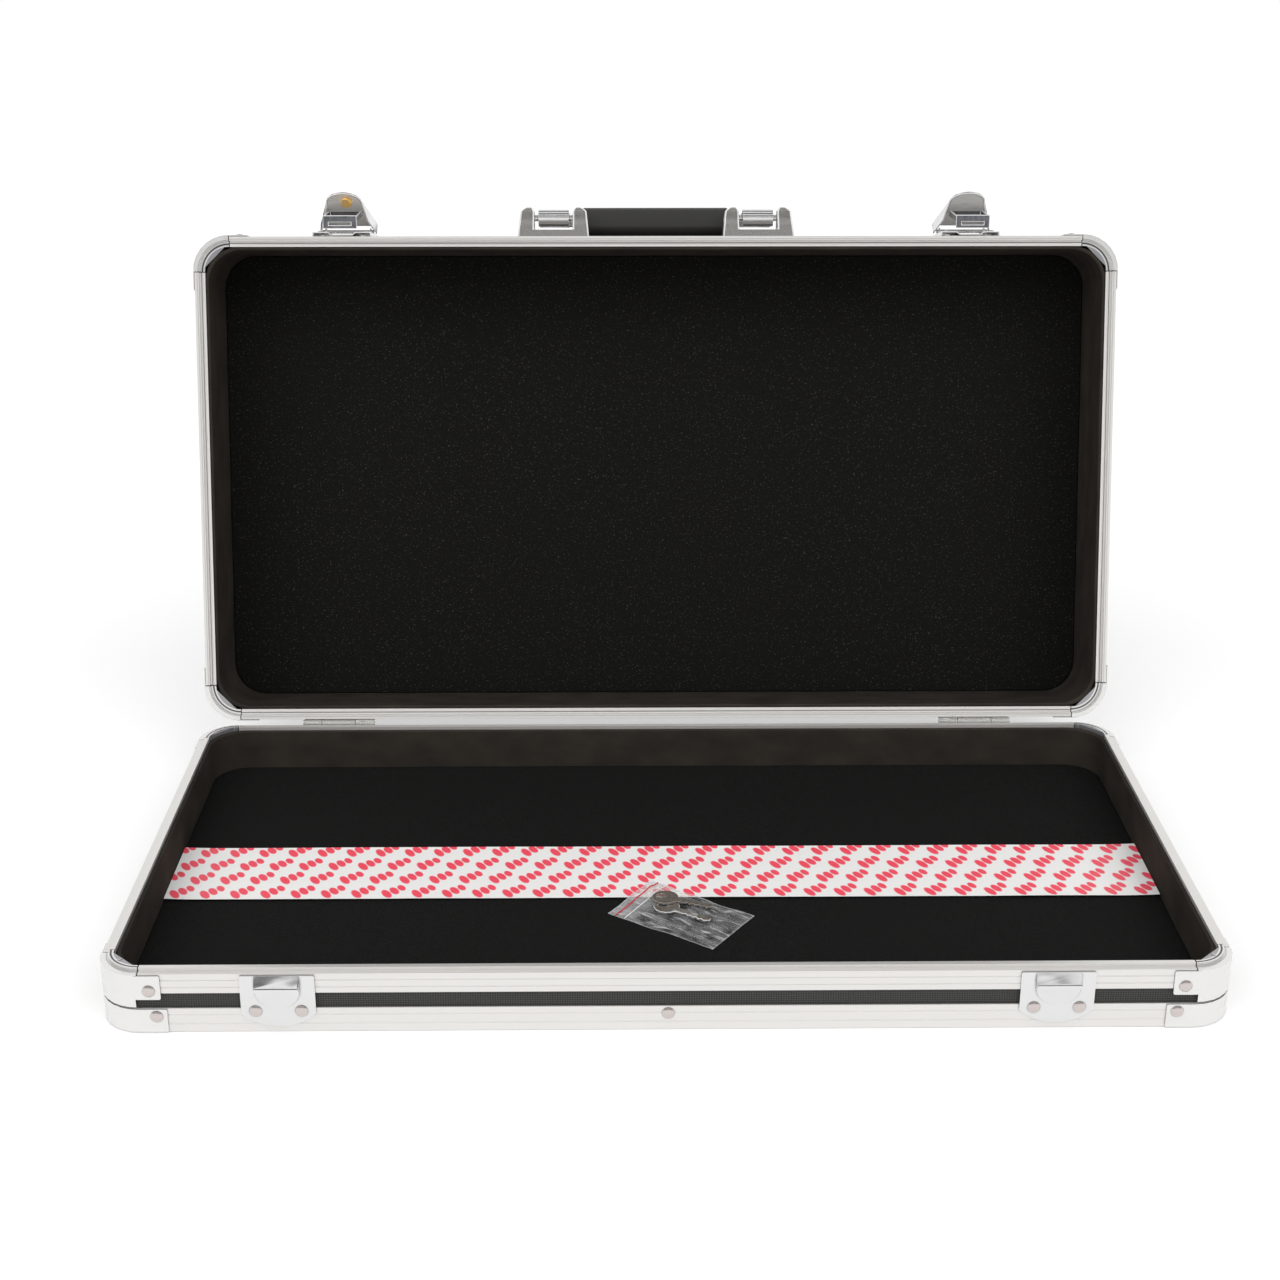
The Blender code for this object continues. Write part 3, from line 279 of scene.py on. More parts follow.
def blackLaminate():
    # ABS laminate over board: charcoal, embossed with a fine square grid
    made, tree, shader = startMaterial("abs_laminate", "434341", 0.5, Specular_IOR_Level=0.3)
    # The real grid of about 0.9 mm is too fine to show. Each skinned face lies on a row of ridges.
    pitch = 1.5  # mm
    walls = frame["nodes"]["tray_side_walls"].data.vertices
    low = min(point.co.z for point in frame["nodes"]["tray_bottom_panel"].data.vertices) * perMetre
    high = case["shutTop"] * perMetre - low
    scale = []
    for far in (max(p.co.x for p in walls) * perMetre, max(p.co.y for p in walls) * perMetre):
        scale.append(math.pi * (round(far / pitch) + 0.5) / far)
    scale.append(math.pi * round((high - low) / pitch) / (high - low))
    place = casePlace(tree, scale, (0, 0, quarter - low * scale[2]))
    x, y, z = addNode(tree, "ShaderNodeSeparateXYZ", [place]).node.outputs
    # Along the walls the rows follow |x| - |y|, which runs on evenly round the corners
    along = [addNode(tree, "ShaderNodeMath", [part], operation="ABSOLUTE") for part in (x, y)]
    along = addNode(tree, "ShaderNodeMath", along, operation="SUBTRACT")
    rows = []
    for part in (x, y, z, along):
        wave = addNode(tree, "ShaderNodeMath", [part], operation="SINE")
        rows.append(addNode(tree, "ShaderNodeMath", [wave], operation="ABSOLUTE"))
    panels = addNode(tree, "ShaderNodeMath", rows[:2], operation="MULTIPLY")
    sides = addNode(tree, "ShaderNodeMath", rows[2:], operation="MULTIPLY")
    reach = (high - low) / 2 * scale[2]
    onSides = [z, quarter + reach, reach - scale[2]]
    onSides = addNode(tree, "ShaderNodeMath", onSides, operation="COMPARE")
    sides = addNode(tree, "ShaderNodeMath", [sides, panels], operation="SUBTRACT")
    height = addNode(tree, "ShaderNodeMath", [sides, onSides, panels], operation="MULTIPLY_ADD")
    # The emboss is painted dark in its hollows and light on its ridges, as painted shade and light
    dress(tree, shader, height, colours=("191918", "454542"), limits=(0.0, 0.55), relief=(0.2, 0.7))
    return made


def floorPile():
    # Loop-faced carpet on foam: near black, with short ribs and single lighter loops
    made, tree, shader = startMaterial("black_loop_pile", "131313", 0.95, Specular_IOR_Level=0.12)
    grain(tree, shader, (0.9, 0.35, 0.9), 3.0, relief=(0.5, 0.8))
    grain(tree, shader, (1.3, 1.3, 1.3), 2.0, colours=("0D0D0D", "212120"), limits=(0.35, 0.72))
    return made


def speckledFoam():
    # Closed-cell foam sheet: black, with open cells that catch the light as faint specks
    made, tree, shader = startMaterial("black_foam_sheet", "10100E", 0.92, Specular_IOR_Level=0.1)
    grain(tree, shader, (0.75, 0.75, 0.75), 1.0, colours=("141412", "3B3B34"), limits=(0.62, 0.78))
    grain(tree, shader, (1.1, 1.1, 1.1), 2.0, relief=(0.3, 0.6))
    return made


def pileLining():
    # Short brushed pile glued to the walls: dark brown, with a faint sheen and soft rubbed patches
    made, tree, shader = startMaterial("brushed_pile", "332E2A", 0.9, Specular_IOR_Level=0.15)
    grain(tree, shader, (0.03, 0.03, 0.05), 3.0, colours=("2C2824", "3A352F"))
    grain(tree, shader, (1.0, 1.0, 1.6), 3.0, relief=(0.3, 0.6))
    return made


def gripPlastic():
    # Moulded vinyl over a steel core: black satin with a faint leather grain
    made, tree, shader = startMaterial("moulded_vinyl", "2E2D2B", 0.36)
    grain(tree, shader, (0.5, 0.5, 0.5), 4.0, rough=(0.34, 0.5), relief=(0.08, 0.4))
    return made


liner = {
    "pitchAlong": 20.3,  # mm
    "pitchAcross": 19.6,
    "tilt": math.radians(28),
    # x, y, half width and half length of each dab
    "dabs": ((-5.4, -1.0, 2.9, 6.0), (0.8, 0.5, 2.8, 5.2), (6.6, 2.0, 2.5, 4.2)),
    "edgeBlur": 0.12,
}


def releaseLiner():
    # Siliconed paper: smooth off-white, printed in one red with slanted brush dabs in bricks
    made, tree, shader = startMaterial("printed_release_paper", "F5F4F1", 0.42)
    flat = addNode(tree, "ShaderNodeUVMap", uv_map="flat")
    u, v = addNode(tree, "ShaderNodeSeparateXYZ", [flat]).node.outputs[:2]
    row = addNode(tree, "ShaderNodeMath", [v, liner["pitchAcross"]], operation="DIVIDE")
    shift = addNode(tree, "ShaderNodeMath", [row], operation="FLOOR")
    column = addNode(tree, "ShaderNodeMath", [u, liner["pitchAlong"]], operation="DIVIDE")
    column = addNode(tree, "ShaderNodeMath", [shift, 0.5, column], operation="MULTIPLY_ADD")
    inCell = []
    for count, pitch in ((column, liner["pitchAlong"]), (row, liner["pitchAcross"])):
        part = addNode(tree, "ShaderNodeMath", [count], operation="FRACT")
        part = addNode(tree, "ShaderNodeMath", [part, 0.5], operation="SUBTRACT")
        inCell.append(addNode(tree, "ShaderNodeMath", [part, pitch], operation="MULTIPLY"))
    cosine, sine = math.cos(liner["tilt"]), math.sin(liner["tilt"])
    tilted = []
    for first, second, lean in ((*inCell, sine), (*inCell[::-1], -sine)):
        lean = addNode(tree, "ShaderNodeMath", [second, lean], operation="MULTIPLY")
        tilted.append(addNode(tree, "ShaderNodeMath", [first, cosine, lean], operation="MULTIPLY_ADD"))
    nearest = None
    for x, y, halfWidth, halfLength in liner["dabs"]:
        shares = []
        for part, middle, half in zip(tilted, (x, y), (halfWidth, halfLength)):
            part = addNode(tree, "ShaderNodeMath", [part, middle], operation="SUBTRACT")
            shares.append(addNode(tree, "ShaderNodeMath", [part, half], operation="DIVIDE"))
        a, b = shares
        reach = addNode(tree, "ShaderNodeMath", [b, b], operation="MULTIPLY")
        reach = addNode(tree, "ShaderNodeMath", [a, a, reach], operation="MULTIPLY_ADD")
        reach = addNode(tree, "ShaderNodeMath", [reach], operation="SQRT")
        if nearest:
            reach = addNode(tree, "ShaderNodeMath", [nearest, reach], operation="MINIMUM")
        nearest = reach
    limits = (1 - liner["edgeBlur"], 1 + liner["edgeBlur"])
    dress(tree, shader, nearest, colours=("FF5468", "FAF9F7"), limits=limits)
    grain(tree, shader, (0.08, 0.08, 0.08), 3.0, relief=(0.4, 0.4))
    return made


def hookTape():
    # Woven nylon hook tape under the liner: black and matt
    made, tree, shader = startMaterial("woven_nylon_tape", "161616", 0.9)
    grain(tree, shader, (1.2, 1.2, 1.2), 2.0, relief=(0.3, 0.6))
    return made


def clearFilm():
    # Thin polyethylene: nearly clear, with soft haze along its folds and a few white pinch lines
    made, tree, shader = startMaterial("polyethylene_film", "EFEFF0", 0.2, IOR=1.5)
    flat = addNode(tree, "ShaderNodeUVMap", uv_map="flat")
    # Folds, patches of haze and streaks, with their features per step of the bag's own grid. The streaks are
    # painted glints.
    layers = []
    for scale, detail, distortion in (
        ((0.09, 0.24, 0.1), 0.8, 0.7), ((0.05, 0.09, 0.1), 1.0, 0.0), ((0.05, 0.2, 0.1), 0.8, 0.5)
    ):
        place = addNode(tree, "ShaderNodeMapping", {"Vector": flat, "Scale": scale})
        inputs = {"Vector": place, "Scale": 1.0, "Detail": detail, "Distortion": distortion}
        layers.append(addNode(tree, "ShaderNodeTexNoise", inputs))
    folds, patches, streaks = layers
    alpha = addNode(tree, "ShaderNodeMapRange", [awayFrom(tree, folds, 0.5), 0.0, 0.02, 0.15, 0.0])
    haze = addNode(tree, "ShaderNodeMapRange", [patches, 0.4, 0.7, 0.02, 0.18])
    # Painted reflections: the streaks turn into white glints in the alpha
    glints = addNode(tree, "ShaderNodeMapRange", [streaks, 0.6, 0.8, 0.0, 0.5])
    for more in (haze, glints):
        alpha = addNode(tree, "ShaderNodeMath", [alpha, more], operation="ADD")
    # The rims are whiter, along the welded sides and across both ends
    along, across = addNode(tree, "ShaderNodeSeparateXYZ", [flat]).node.outputs[:2]
    for part, length in ((across, bag["rows"]), (along, bag["columns"])):
        step = addNode(tree, "ShaderNodeMath", [part, bag["lowerFrom"]], operation="MODULO")
        far = addNode(tree, "ShaderNodeMath", [step, length - 1.3], operation="GREATER_THAN")
        near = addNode(tree, "ShaderNodeMath", [step, 1.0], operation="LESS_THAN")
        rim = addNode(tree, "ShaderNodeMath", [far, near], operation="ADD")
        alpha = addNode(tree, "ShaderNodeMath", [rim, 0.1, alpha], operation="MULTIPLY_ADD")
    # The mouth, up to a little past the zip, is milkier
    mouth = addNode(tree, "ShaderNodeMapRange", [step, 14, 32, 0.18, 0.0])
    alpha = addNode(tree, "ShaderNodeMath", [alpha, mouth], operation="ADD")
    tree.links.new(alpha, shader.inputs["Alpha"])
    dress(tree, shader, folds, relief=(1.3, 0.6))
    return made


def zipPlastic(name, colour):
    # Extruded polyethylene bead: smooth and slightly glossy
    made, tree, shader = startMaterial(name, colour, 0.3)
    grain(tree, shader, (0.8, 0.8, 0.8), 2.0, relief=(0.1, 0.4))
    return made


print("materials")
finishes = {
    "rail_aluminium": railAluminium(),
    "corner_sheet": cornerSheet(),
    "latch_chrome": brightPlate(),
    "hinge_chrome": brightPlate("nickel_plated_steel", "EEEDE9", 0.14, 0.28),
    "handle_chrome": brightPlate("chrome_plated_zinc", "E0E0E0", 0.06, 0.16),
    "cast_zinc": castZinc(),
    "lock_brass": polishedBrass(),
    "black_skin": blackLaminate(),
    "floor_foam": floorPile(),
    "lid_foam": speckledFoam(),
    "dark_lining": pileLining(),
    "grip_plastic": gripPlastic(),
    "printed_liner": releaseLiner(),
    "clear_film": clearFilm(),
    "key_steel": keyMetal(),
}
rivetSteel = brightPlate("zinc_plated_rivet", "CFC6C3", 0.05, 0.12)
slotOf = {part["node"]: part["material_slot"] for part in frame["record"]["subparts"]}


# Pieces

def markPlace(mesh, body):
    # Each point's place on the shut case, in mm, which the finishes read
    turn = Matrix.Identity(4) if body == "base" else openToShut
    layer = mesh.attributes.new("casePlace", "FLOAT_VECTOR", "POINT")
    for point, value in zip(mesh.vertices, layer.data):
        value.vector = turn @ point.co * perMetre


def addPiece(name, mesh, material, body, replaces=(), smoothFrom=None):
    piece = bpy.data.objects.new(name, mesh)
    collection.objects.link(piece)
    if material:
        mesh.materials.clear()
        mesh.materials.append(material)
    if smoothFrom is not None:
        mesh.shade_smooth()
        mesh.set_sharp_from_angle(angle=math.radians(smoothFrom))
    if "casePlace" not in mesh.attributes:
        markPlace(mesh, body)
    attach(piece, body)
    if replaces:
        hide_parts(*replaces)
    return piece


def settle(piece):
    # Works the piece's modifiers into its mesh
    graph = bpy.context.evaluated_depsgraph_get()
    made = bpy.data.meshes.new_from_object(piece.evaluated_get(graph))
    piece.modifiers.clear()
    old = piece.data
    piece.data = made
    bpy.data.meshes.remove(old)
    return made


rounding = {  # mm, by the start of a node's name
    "tray_rim_rail": 0.16, "lid_rim_rail": 0.16, "tray_edge_frame": 0.25, "lid_edge_frame": 0.25,
    "tray_rim_corner": 0.22, "lid_rim_corner": 0.22, "tray_edge_corner": 0.25, "lid_edge_corner": 0.25,
    "catch_plate": 0.4, "tray_hinge": 0.2, "lid_hinge": 0.2, "hinge_pin": 0.3,
    "handle_bracket": 1.2, "handle_end": 0.8, "handle_pin": 0.3, "handle_grip": 2.2,
    "latch_pan": 0.45, "latch_lever": 0.55, "latch_claw": 0.4, "lever_lock": 0.4, "key_": 0.35,
}
sheetCorners = {  # mm, round each sheet's own corners
    "catch_plate": 2.6, "tray_rim_corner": 1.3, "lid_rim_corner": 1.3, "tray_edge_corner": 1.3,
    "lid_edge_corner": 1.3, "tray_hinge": 1.2, "lid_hinge": 1.2,
}
metal = {
    "weld": 0.01 * mm,
    "evenTurn": math.radians(0.6),  # faces that turn less are one flat face
    "thinSheet": 0.6 * mm,
    "thickSheet": 1.3 * mm,
    "sheetFace": 6 * mm * mm,  # the least area beside a sheet's corner
    "cornerTurn": math.radians(50),
    "roundedTurn": math.radians(32),
    "sharpTurn": math.radians(35),
    "inwards": -0.3,  # how far a face of the lever has to look away from its outer side
}


def roundSheetCorners(work, radius):
    # The short edges through a sheet's thickness, where its outline turns sharply
    ends = []
    for edge in work.edges:
        if metal["thinSheet"] < edge.calc_length() < metal["thickSheet"]:
            broad = all(face.calc_area() > metal["sheetFace"] for face in edge.link_faces)
            if broad and edge.calc_face_angle(0) > metal["cornerTurn"]:
                ends.append(edge)
    bmesh.ops.bevel(
        work, geom=ends, offset=radius * mm, segments=5, profile=0.5, affect="EDGES", clamp_overlap=True
    )


edgeHighlightFinish = paintedEdgeHighlight()
highlightEdged = ("latch_chrome", "handle_chrome", "cast_zinc", "key_steel", "hinge_chrome")
darkenedClawFace, paleInsideOfLever = darkenedClawPlate(), paleLeverInside()
# Thin bent and cast pieces are rounded by their whole width, even where edges come close
wholeRounding = ("latch_claw", "latch_lever", "latch_pan", "handle_bracket")
# The way that a lever's outer side faces, turned up by the open lid and by its own open angle
leverAngle = openAngle + math.radians(max(joints["lever_left_swing"]["range_deg"]))
leverOutward = Vector((0, -math.cos(leverAngle), math.sin(leverAngle)))


def roundedCopy(node, width, steps=3):
    # A welded copy of a rigid node, with its flat faces whole and its edges rounded
    mesh = frame["nodes"][node].data.copy()
    work = bmesh.new()
    work.from_mesh(mesh)
    bmesh.ops.remove_doubles(work, verts=work.verts, dist=metal["weld"])
    bmesh.ops.dissolve_limit(work, angle_limit=metal["evenTurn"], verts=work.verts, edges=work.edges)
    for start, radius in sheetCorners.items():
        if node.startswith(start):
            roundSheetCorners(work, radius)
    work.to_mesh(mesh)
    work.free()
    face = darkenedClawFace if node.startswith("latch_claw") else finishes[slotOf[node]]
    # Finishes listed here give their rounded edges the painted edge highlight
    edge = edgeHighlightFinish if slotOf[node] in highlightEdged else None
    mesh.materials.clear()
    mesh.materials.append(face)
    mesh.materials.append(edge or face)
    mesh.materials.append(paleInsideOfLever)
    piece = bpy.data.objects.new(node + "_rounded", mesh)
    collection.objects.link(piece)
    bevel = piece.modifiers.new("rounding", "BEVEL")
    bevel.material = 1
    bevel.use_clamp_overlap = not node.startswith(wholeRounding)
    bevel.width = width * mm
    bevel.segments = steps
    bevel.limit_method = "ANGLE"
    bevel.angle_limit = metal["roundedTurn"]
    made = settle(piece)
    # Flat faces keep flat normals, and only the rounded edges between them shade smoothly
    made.shade_smooth()
    made.set_sharp_from_angle(angle=metal["sharpTurn"])
    normals = piece.modifiers.new("normals", "WEIGHTED_NORMAL")
    normals.keep_sharp = True
    made = settle(piece)
    bpy.data.objects.remove(piece)
    # The lever's faces that look inwards take the inside finish, which is painted light
    if node.startswith("latch_lever"):
        for polygon in made.polygons:
            if polygon.material_index == 0 and polygon.normal.dot(leverOutward) < metal["inwards"]:
                polygon.material_index = 2
    else:
        made.materials.pop(index=2)
    if not edge:
        made.materials.pop(index=1)
    return addPiece(node + "_rounded", made, None, bodyOf[node], [node])


print("rounded metalwork")
for node in sorted(frame["nodes"]):
    for start, width in rounding.items():
        if node.startswith(start) and node != "key_bag":
            roundedCopy(node, width)
for node in ("tray_bottom_panel", "tray_side_walls", "lid_top_panel", "lid_side_walls"):
    roundedCopy(node, 0.2, 1)


# Rivets

rivet = {
    "radius": 4.05,  # mm, as are the next four
    "rimRadius": 3.5,
    "panRadius": 3.1,
    "domeRadius": 1.4,
    "rise": 1.8,
    "sides": 24,
    "rings": 12,
    "out": 1.1 * mm,  # a corner sheet's face, out from the case's
    "edgeRise": 11.4 * mm,  # from the shut case's bottom or top
    "edgeBack": 10.0 * mm,  # from the end of a rounded corner
    "rimDrop": 11.0 * mm,  # from the joint
    "rimBack": 6.5 * mm,
    "domeInset": 8.0 * mm,  # in from a rounded corner's outside
    "domeRise": 1.9 * mm,  # a gusset's top, above the joint
}


def rivetTree():
    tree = bpy.data.node_groups.new("rivet_heads", "GeometryNodeTree")
    kinds = {"Geometry": "Geometry", "Rise": "Float", "Sides": "Int", "Rings": "Int", "Finish": "Material"}
    for name, kind in kinds.items():
        tree.interface.new_socket(name, in_out="INPUT", socket_type="NodeSocket" + kind)
    tree.interface.new_socket("Geometry", in_out="OUTPUT", socket_type="NodeSocketGeometry")
    start = addNode(tree, "NodeGroupInput").node.outputs
    ball = {"Segments": start["Sides"], "Rings": start["Rings"], "Radius": 1.0}
    ball = addNode(tree, "GeometryNodeMeshUVSphere", ball)
    flat = addNode(tree, "ShaderNodeCombineXYZ", [1.0, 1.0, start["Rise"]])
    head = addNode(tree, "GeometryNodeTransform", {"Geometry": ball, "Scale": flat})
    facing = addNode(
        tree, "GeometryNodeInputNamedAttribute", {"Name": "facing"}, data_type="FLOAT_VECTOR"
    )
    size = addNode(tree, "GeometryNodeInputNamedAttribute", {"Name": "radius"}, data_type="FLOAT")
    turn = addNode(tree, "FunctionNodeAlignRotationToVector", {"Vector": facing}, axis="Z")
    heads = {"Points": start["Geometry"], "Instance": head, "Rotation": turn, "Scale": size}
    heads = addNode(tree, "GeometryNodeInstanceOnPoints", heads)
    heads = addNode(tree, "GeometryNodeRealizeInstances", [heads])
    coated = {"Geometry": heads, "Material": start["Finish"]}
    addNode(tree, "NodeGroupOutput", [addNode(tree, "GeometryNodeSetMaterial", coated)])
    return tree


def rivetRow(name, spots, body, tree):
    mesh = bpy.data.meshes.new(name)
    mesh.from_pydata([place for place, way, radius in spots], [], [])
    mesh.attributes.new("facing", "FLOAT_VECTOR", "POINT")
    mesh.attributes.new("radius", "FLOAT", "POINT")
    for i, (place, way, radius) in enumerate(spots):
        mesh.attributes["facing"].data[i].vector = way
        mesh.attributes["radius"].data[i].value = radius * mm
    piece = bpy.data.objects.new(name, mesh)
    collection.objects.link(piece)
    heads = piece.modifiers.new("heads", "NODES")
    heads.node_group = tree
    values = {
        "Rise": rivet["rise"] / rivet["radius"],
        "Sides": rivet["sides"],
        "Rings": rivet["rings"],
        "Finish": rivetSteel,
    }
    for item in tree.interface.items_tree:
        if item.in_out == "INPUT" and item.name in values:
            heads[item.identifier] = values[item.name]
    made = settle(piece)
    bpy.data.objects.remove(piece)
    return addPiece(name, made, rivetSteel, body, smoothFrom=60)


def roundCase(back, out):
    # The same spot on each arm of the four corners, as (place, outward way) at height 0
    spots = []
    for sx in (-1, 1):
        for sy in (-1, 1):
            x = sx * (case["halfWidth"] - case["corner"] - back)
            y = sy * (case["halfDepth"] - case["corner"] - back)
            spots.append((Vector((x, sy * (case["halfDepth"] + out), 0)), Vector((0, sy, 0))))
            spots.append((Vector((sx * (case["halfWidth"] + out), y, 0)), Vector((sx, 0, 0))))
    return spots


def raised(spots, height, radius):
    return [(place + Vector((0, 0, height)), way, radius) for place, way in spots]


print("rivets")
big = rivet["radius"]
onEdges = roundCase(rivet["edgeBack"], rivet["out"])
onRims = roundCase(rivet["rimBack"], rivet["out"])
middles = [(Vector((0, sy * case["halfDepth"], 0)), Vector((0, sy, 0))) for sy in (-1, 1)]
middles += [(Vector((sx * case["halfWidth"], 0, 0)), Vector((sx, 0, 0))) for sx in (-1, 1)]
trayRivets = raised(onEdges, rivet["edgeRise"], big)
trayRivets += raised(onRims, case["trayHeight"] - rivet["rimDrop"], big)
trayRivets += raised(middles, rivet["edgeRise"], big)
lidFoot, lidEdge = case["trayHeight"] + case["gap"], case["shutTop"] - rivet["edgeRise"]
lidRivets = raised(onEdges, lidEdge, big)
lidRivets += raised(onRims, lidFoot + rivet["rimDrop"], rivet["rimRadius"])
lidRivets += raised(middles, lidEdge, big)
aside = (case["corner"] - rivet["domeInset"]) / math.sqrt(2)
for sx, sy in ((-1, -1), (1, -1), (1, 1), (-1, 1)):
    x = sx * (case["halfWidth"] - case["corner"] + aside)
    y = sy * (case["halfDepth"] - case["corner"] + aside)
    place = Vector((x, y, case["trayHeight"] + rivet["domeRise"]))
    trayRivets.append((place, Vector((0, 0, 1)), rivet["domeRadius"]))
# The fittings: where each one's middle is, how far aside of it its rivets are, and how far out
catch = {"place": 234.5 * mm, "aside": 13.8 * mm, "height": 15.0 * mm, "out": 1.2 * mm}
leaf = {"place": 243.0 * mm, "aside": 18.5 * mm, "rise": 10.5 * mm, "out": 1.2 * mm}
pan = {"place": 234.5 * mm, "aside": 15.8 * mm, "rises": (8.5 * mm, 36.0 * mm), "out": 3.5 * mm}
front, rear = Vector((0, -1, 0)), Vector((0, 1, 0))
for side in (-1, 1):
    for hand in (-1, 1):
        x = side * catch["place"] + hand * catch["aside"]
        place = Vector((x, -case["halfDepth"] - catch["out"], catch["height"]))
        trayRivets.append((place, front, big))
        x = side * leaf["place"] + hand * leaf["aside"]
        for rivets, rise in ((trayRivets, -leaf["rise"]), (lidRivets, leaf["rise"])):
            place = Vector((x, case["halfDepth"] + leaf["out"], hingePlace.z + rise))
            rivets.append((place, rear, big))
        x = side * pan["place"] + hand * pan["aside"]
        for rise in pan["rises"]:
            place = Vector((x, -case["halfDepth"] - pan["out"], lidFoot + rise))
            lidRivets.append((place, front, rivet["panRadius"]))
lidTurn = shutToOpen.to_3x3()
lidRivets = [(shutToOpen @ place, lidTurn @ way, radius) for place, way, radius in lidRivets]
heads = rivetTree()
rivetRow("tray_rivets", trayRivets, "base", heads)
rivetRow("lid_rivets", lidRivets, "lid", heads)


# Linings and foam

lining = {
    "back": 7.8 * mm,  # insets from the case's outer face
    "face": 9.8 * mm,
    "foot": 5.1 * mm,
    "corner": 25.0 * mm,
    "edgeRound": 0.9 * mm,
    "arcSteps": 14,
    "runStep": 9.0 * mm,
    "ripple": 0.3 * mm,
    "fineRipple": 0.12 * mm,
    "highestRipple": 0.25 * mm,
}

foam = {
    "side": 10.1 * mm,  # inset from the case's outer face
    "edgeRound": 0.9 * mm,
    "insets": (14 * mm, 20 * mm, 27 * mm, 34 * mm),
    "shares": (0.9, 0.78, 0.64, 0.5, 0.36, 0.22, 0.1),  # of the last inset's loop
    "smallestCorner": 0.8 * mm,
    "arcSteps": 10,
    "runStep": 12 * mm,
}


def planLoop(inset, radius, steps, runStep):
    points = []
    x, y = case["halfWidth"] - inset - radius, case["halfDepth"] - inset - radius
    corners = ((x, y), (-x, y), (-x, -y), (x, -y))
    for turn, (cx, cy) in enumerate(corners):
        for i in range(steps + 1):
            angle = (turn + i / steps) * quarter
            points.append(Vector((cx + radius * math.cos(angle), cy + radius * math.sin(angle), 0)))
        nx, ny = corners[(turn + 1) % 4]
        angle = (turn + 1) * quarter
        here = points[-1]
        there = Vector((nx + radius * math.cos(angle), ny + radius * math.sin(angle), 0))
        count = max(1, round((there - here).length / runStep))
        for i in range(1, count):
            points.append(here.lerp(there, i / count))
    return points


def halfOfCase(node):
    # Which way its heights run, where they start on the shut case, and how that half is turned
    if node.startswith("tray"):
        return 1, 0, Matrix.Identity(4)
    return -1, case["shutTop"], shutToOpen


def joinRings(work, rings):
    for here, there in zip(rings, rings[1:]):
        for i in range(len(here)):
            j = (i + 1) % len(here)
            work.faces.new((here[i], here[j], there[j], there[i]))


def finished(work, name):
    mesh = bpy.data.meshes.new(name)
    work.to_mesh(mesh)
    work.free()
    return mesh


def wallLining(name, node, top):
    r = lining["edgeRound"]
    face, back, foot = lining["face"], lining["back"], lining["foot"]
    rises = [foot, foot + 1.5 * r]
    rises += [foot + (top - foot) * share for share in (0.25, 0.5, 0.75)] + [top - 2 * r]
    section = [(face, rise) for rise in rises]
    section += [(face - r + r * math.cos(a), top - r + r * math.sin(a)) for a in (0, 0.5, 1.05, quarter)]
    section += [(back + 0.2 * r, top), (back, top - 0.3 * r), (back, foot)]
    work = bmesh.new()
    rings = []
    up, base, turn = halfOfCase(node)
    for inset, rise in section:
        radius = lining["corner"] - 0.5 * (face - inset)
        ring = []
        for point in planLoop(inset, radius, lining["arcSteps"], lining["runStep"]):
            spot = Vector((point.x, point.y, base + up * rise))
            swell = noise.noise(spot * 28) * lining["ripple"] + noise.noise(spot * 110) * lining["fineRipple"]
            if inset > back + r:
                inward = Vector((-point.x / case["halfWidth"], -point.y / case["halfDepth"], 0))
                spot += inward.normalized() * min(swell, lining["highestRipple"])
            ring.append(work.verts.new(turn @ spot))
        rings.append(ring)
    joinRings(work, rings + rings[:1])
    bmesh.ops.recalc_face_normals(work, faces=work.faces)
    mesh = finished(work, name)
    piece = addPiece(name, mesh, finishes["dark_lining"], bodyOf[node], [node], 60)


def foamSheet(name, node, slot, low, high, ripple):
    side, edge = foam["side"], foam["edgeRound"]
    insets = [(side, low), (side, high - edge)]
    for angle in (0.5, 1.0, quarter):
        insets.append((side + edge * (1 - math.cos(angle)), high - edge + edge * math.sin(angle)))
    insets += [(inset, high) for inset in foam["insets"]]
    up, base, turn = halfOfCase(node)
    loops = []
    for inset, rise in insets:
        radius = max(lining["corner"] + lining["face"] - inset, foam["smallestCorner"])
        plan = planLoop(inset, radius, foam["arcSteps"], foam["runStep"])
        loops.append([Vector((p.x, p.y, rise)) for p in plan])
    inner = loops[-1]
    for share in foam["shares"]:
        loops.append([Vector((p.x * share, p.y * share, high)) for p in inner])
    work = bmesh.new()
    rings = []
    for number, loop in enumerate(loops):
        ring = []
        for p in loop:
            spot = p.copy()
            if number > 2:  # above the straight part of the side
                spot.z += noise.noise(Vector((p.x, p.y, up)) * 9) * ripple
            spot.z = base + up * spot.z
            ring.append(work.verts.new(turn @ spot))
        rings.append(ring)
    joinRings(work, rings)
    work.faces.new(rings[0][::-1])
    work.faces.new(rings[-1])
    bmesh.ops.recalc_face_normals(work, faces=work.faces)
    bmesh.ops.triangulate(work, faces=[f for f in work.faces if len(f.verts) > 4])
    piece = addPiece(name, finished(work, name), finishes[slot], bodyOf[node], [node], 60)


print("linings and foam")
wallLining("tray_pile_lining", "tray_side_lining", 39.4 * mm)
wallLining("lid_pile_lining", "lid_side_lining", 71.6 * mm)
foamSheet("tray_pile_floor", "tray_floor_foam", "floor_foam", 4.8 * mm, 9.8 * mm, 0.3 * mm)
foamSheet("lid_foam_sheet", "lid_foam_panel", "lid_foam", 4.8 * mm, 7.0 * mm, 0.25 * mm)


# Tape strip

strip = {
    "length": 667.0 * mm,
    "width": 73.5 * mm,
    "y": -1.5 * mm,
    "low": 10.3 * mm,
    "tape": 0.8 * mm,
    "paper": 0.12 * mm,
    "curl": 26.0 * mm,
    "curlRise": 0.7 * mm,
    "wave": 0.15 * mm,
    "peelFrom": 0.88,  # of the half width
    "peelRise": 5.0 * mm,
    "lift": 0.05 * mm,
    "tapeInset": 1.2,  # mm
    "columns": 240,
    "rows": 24,
}


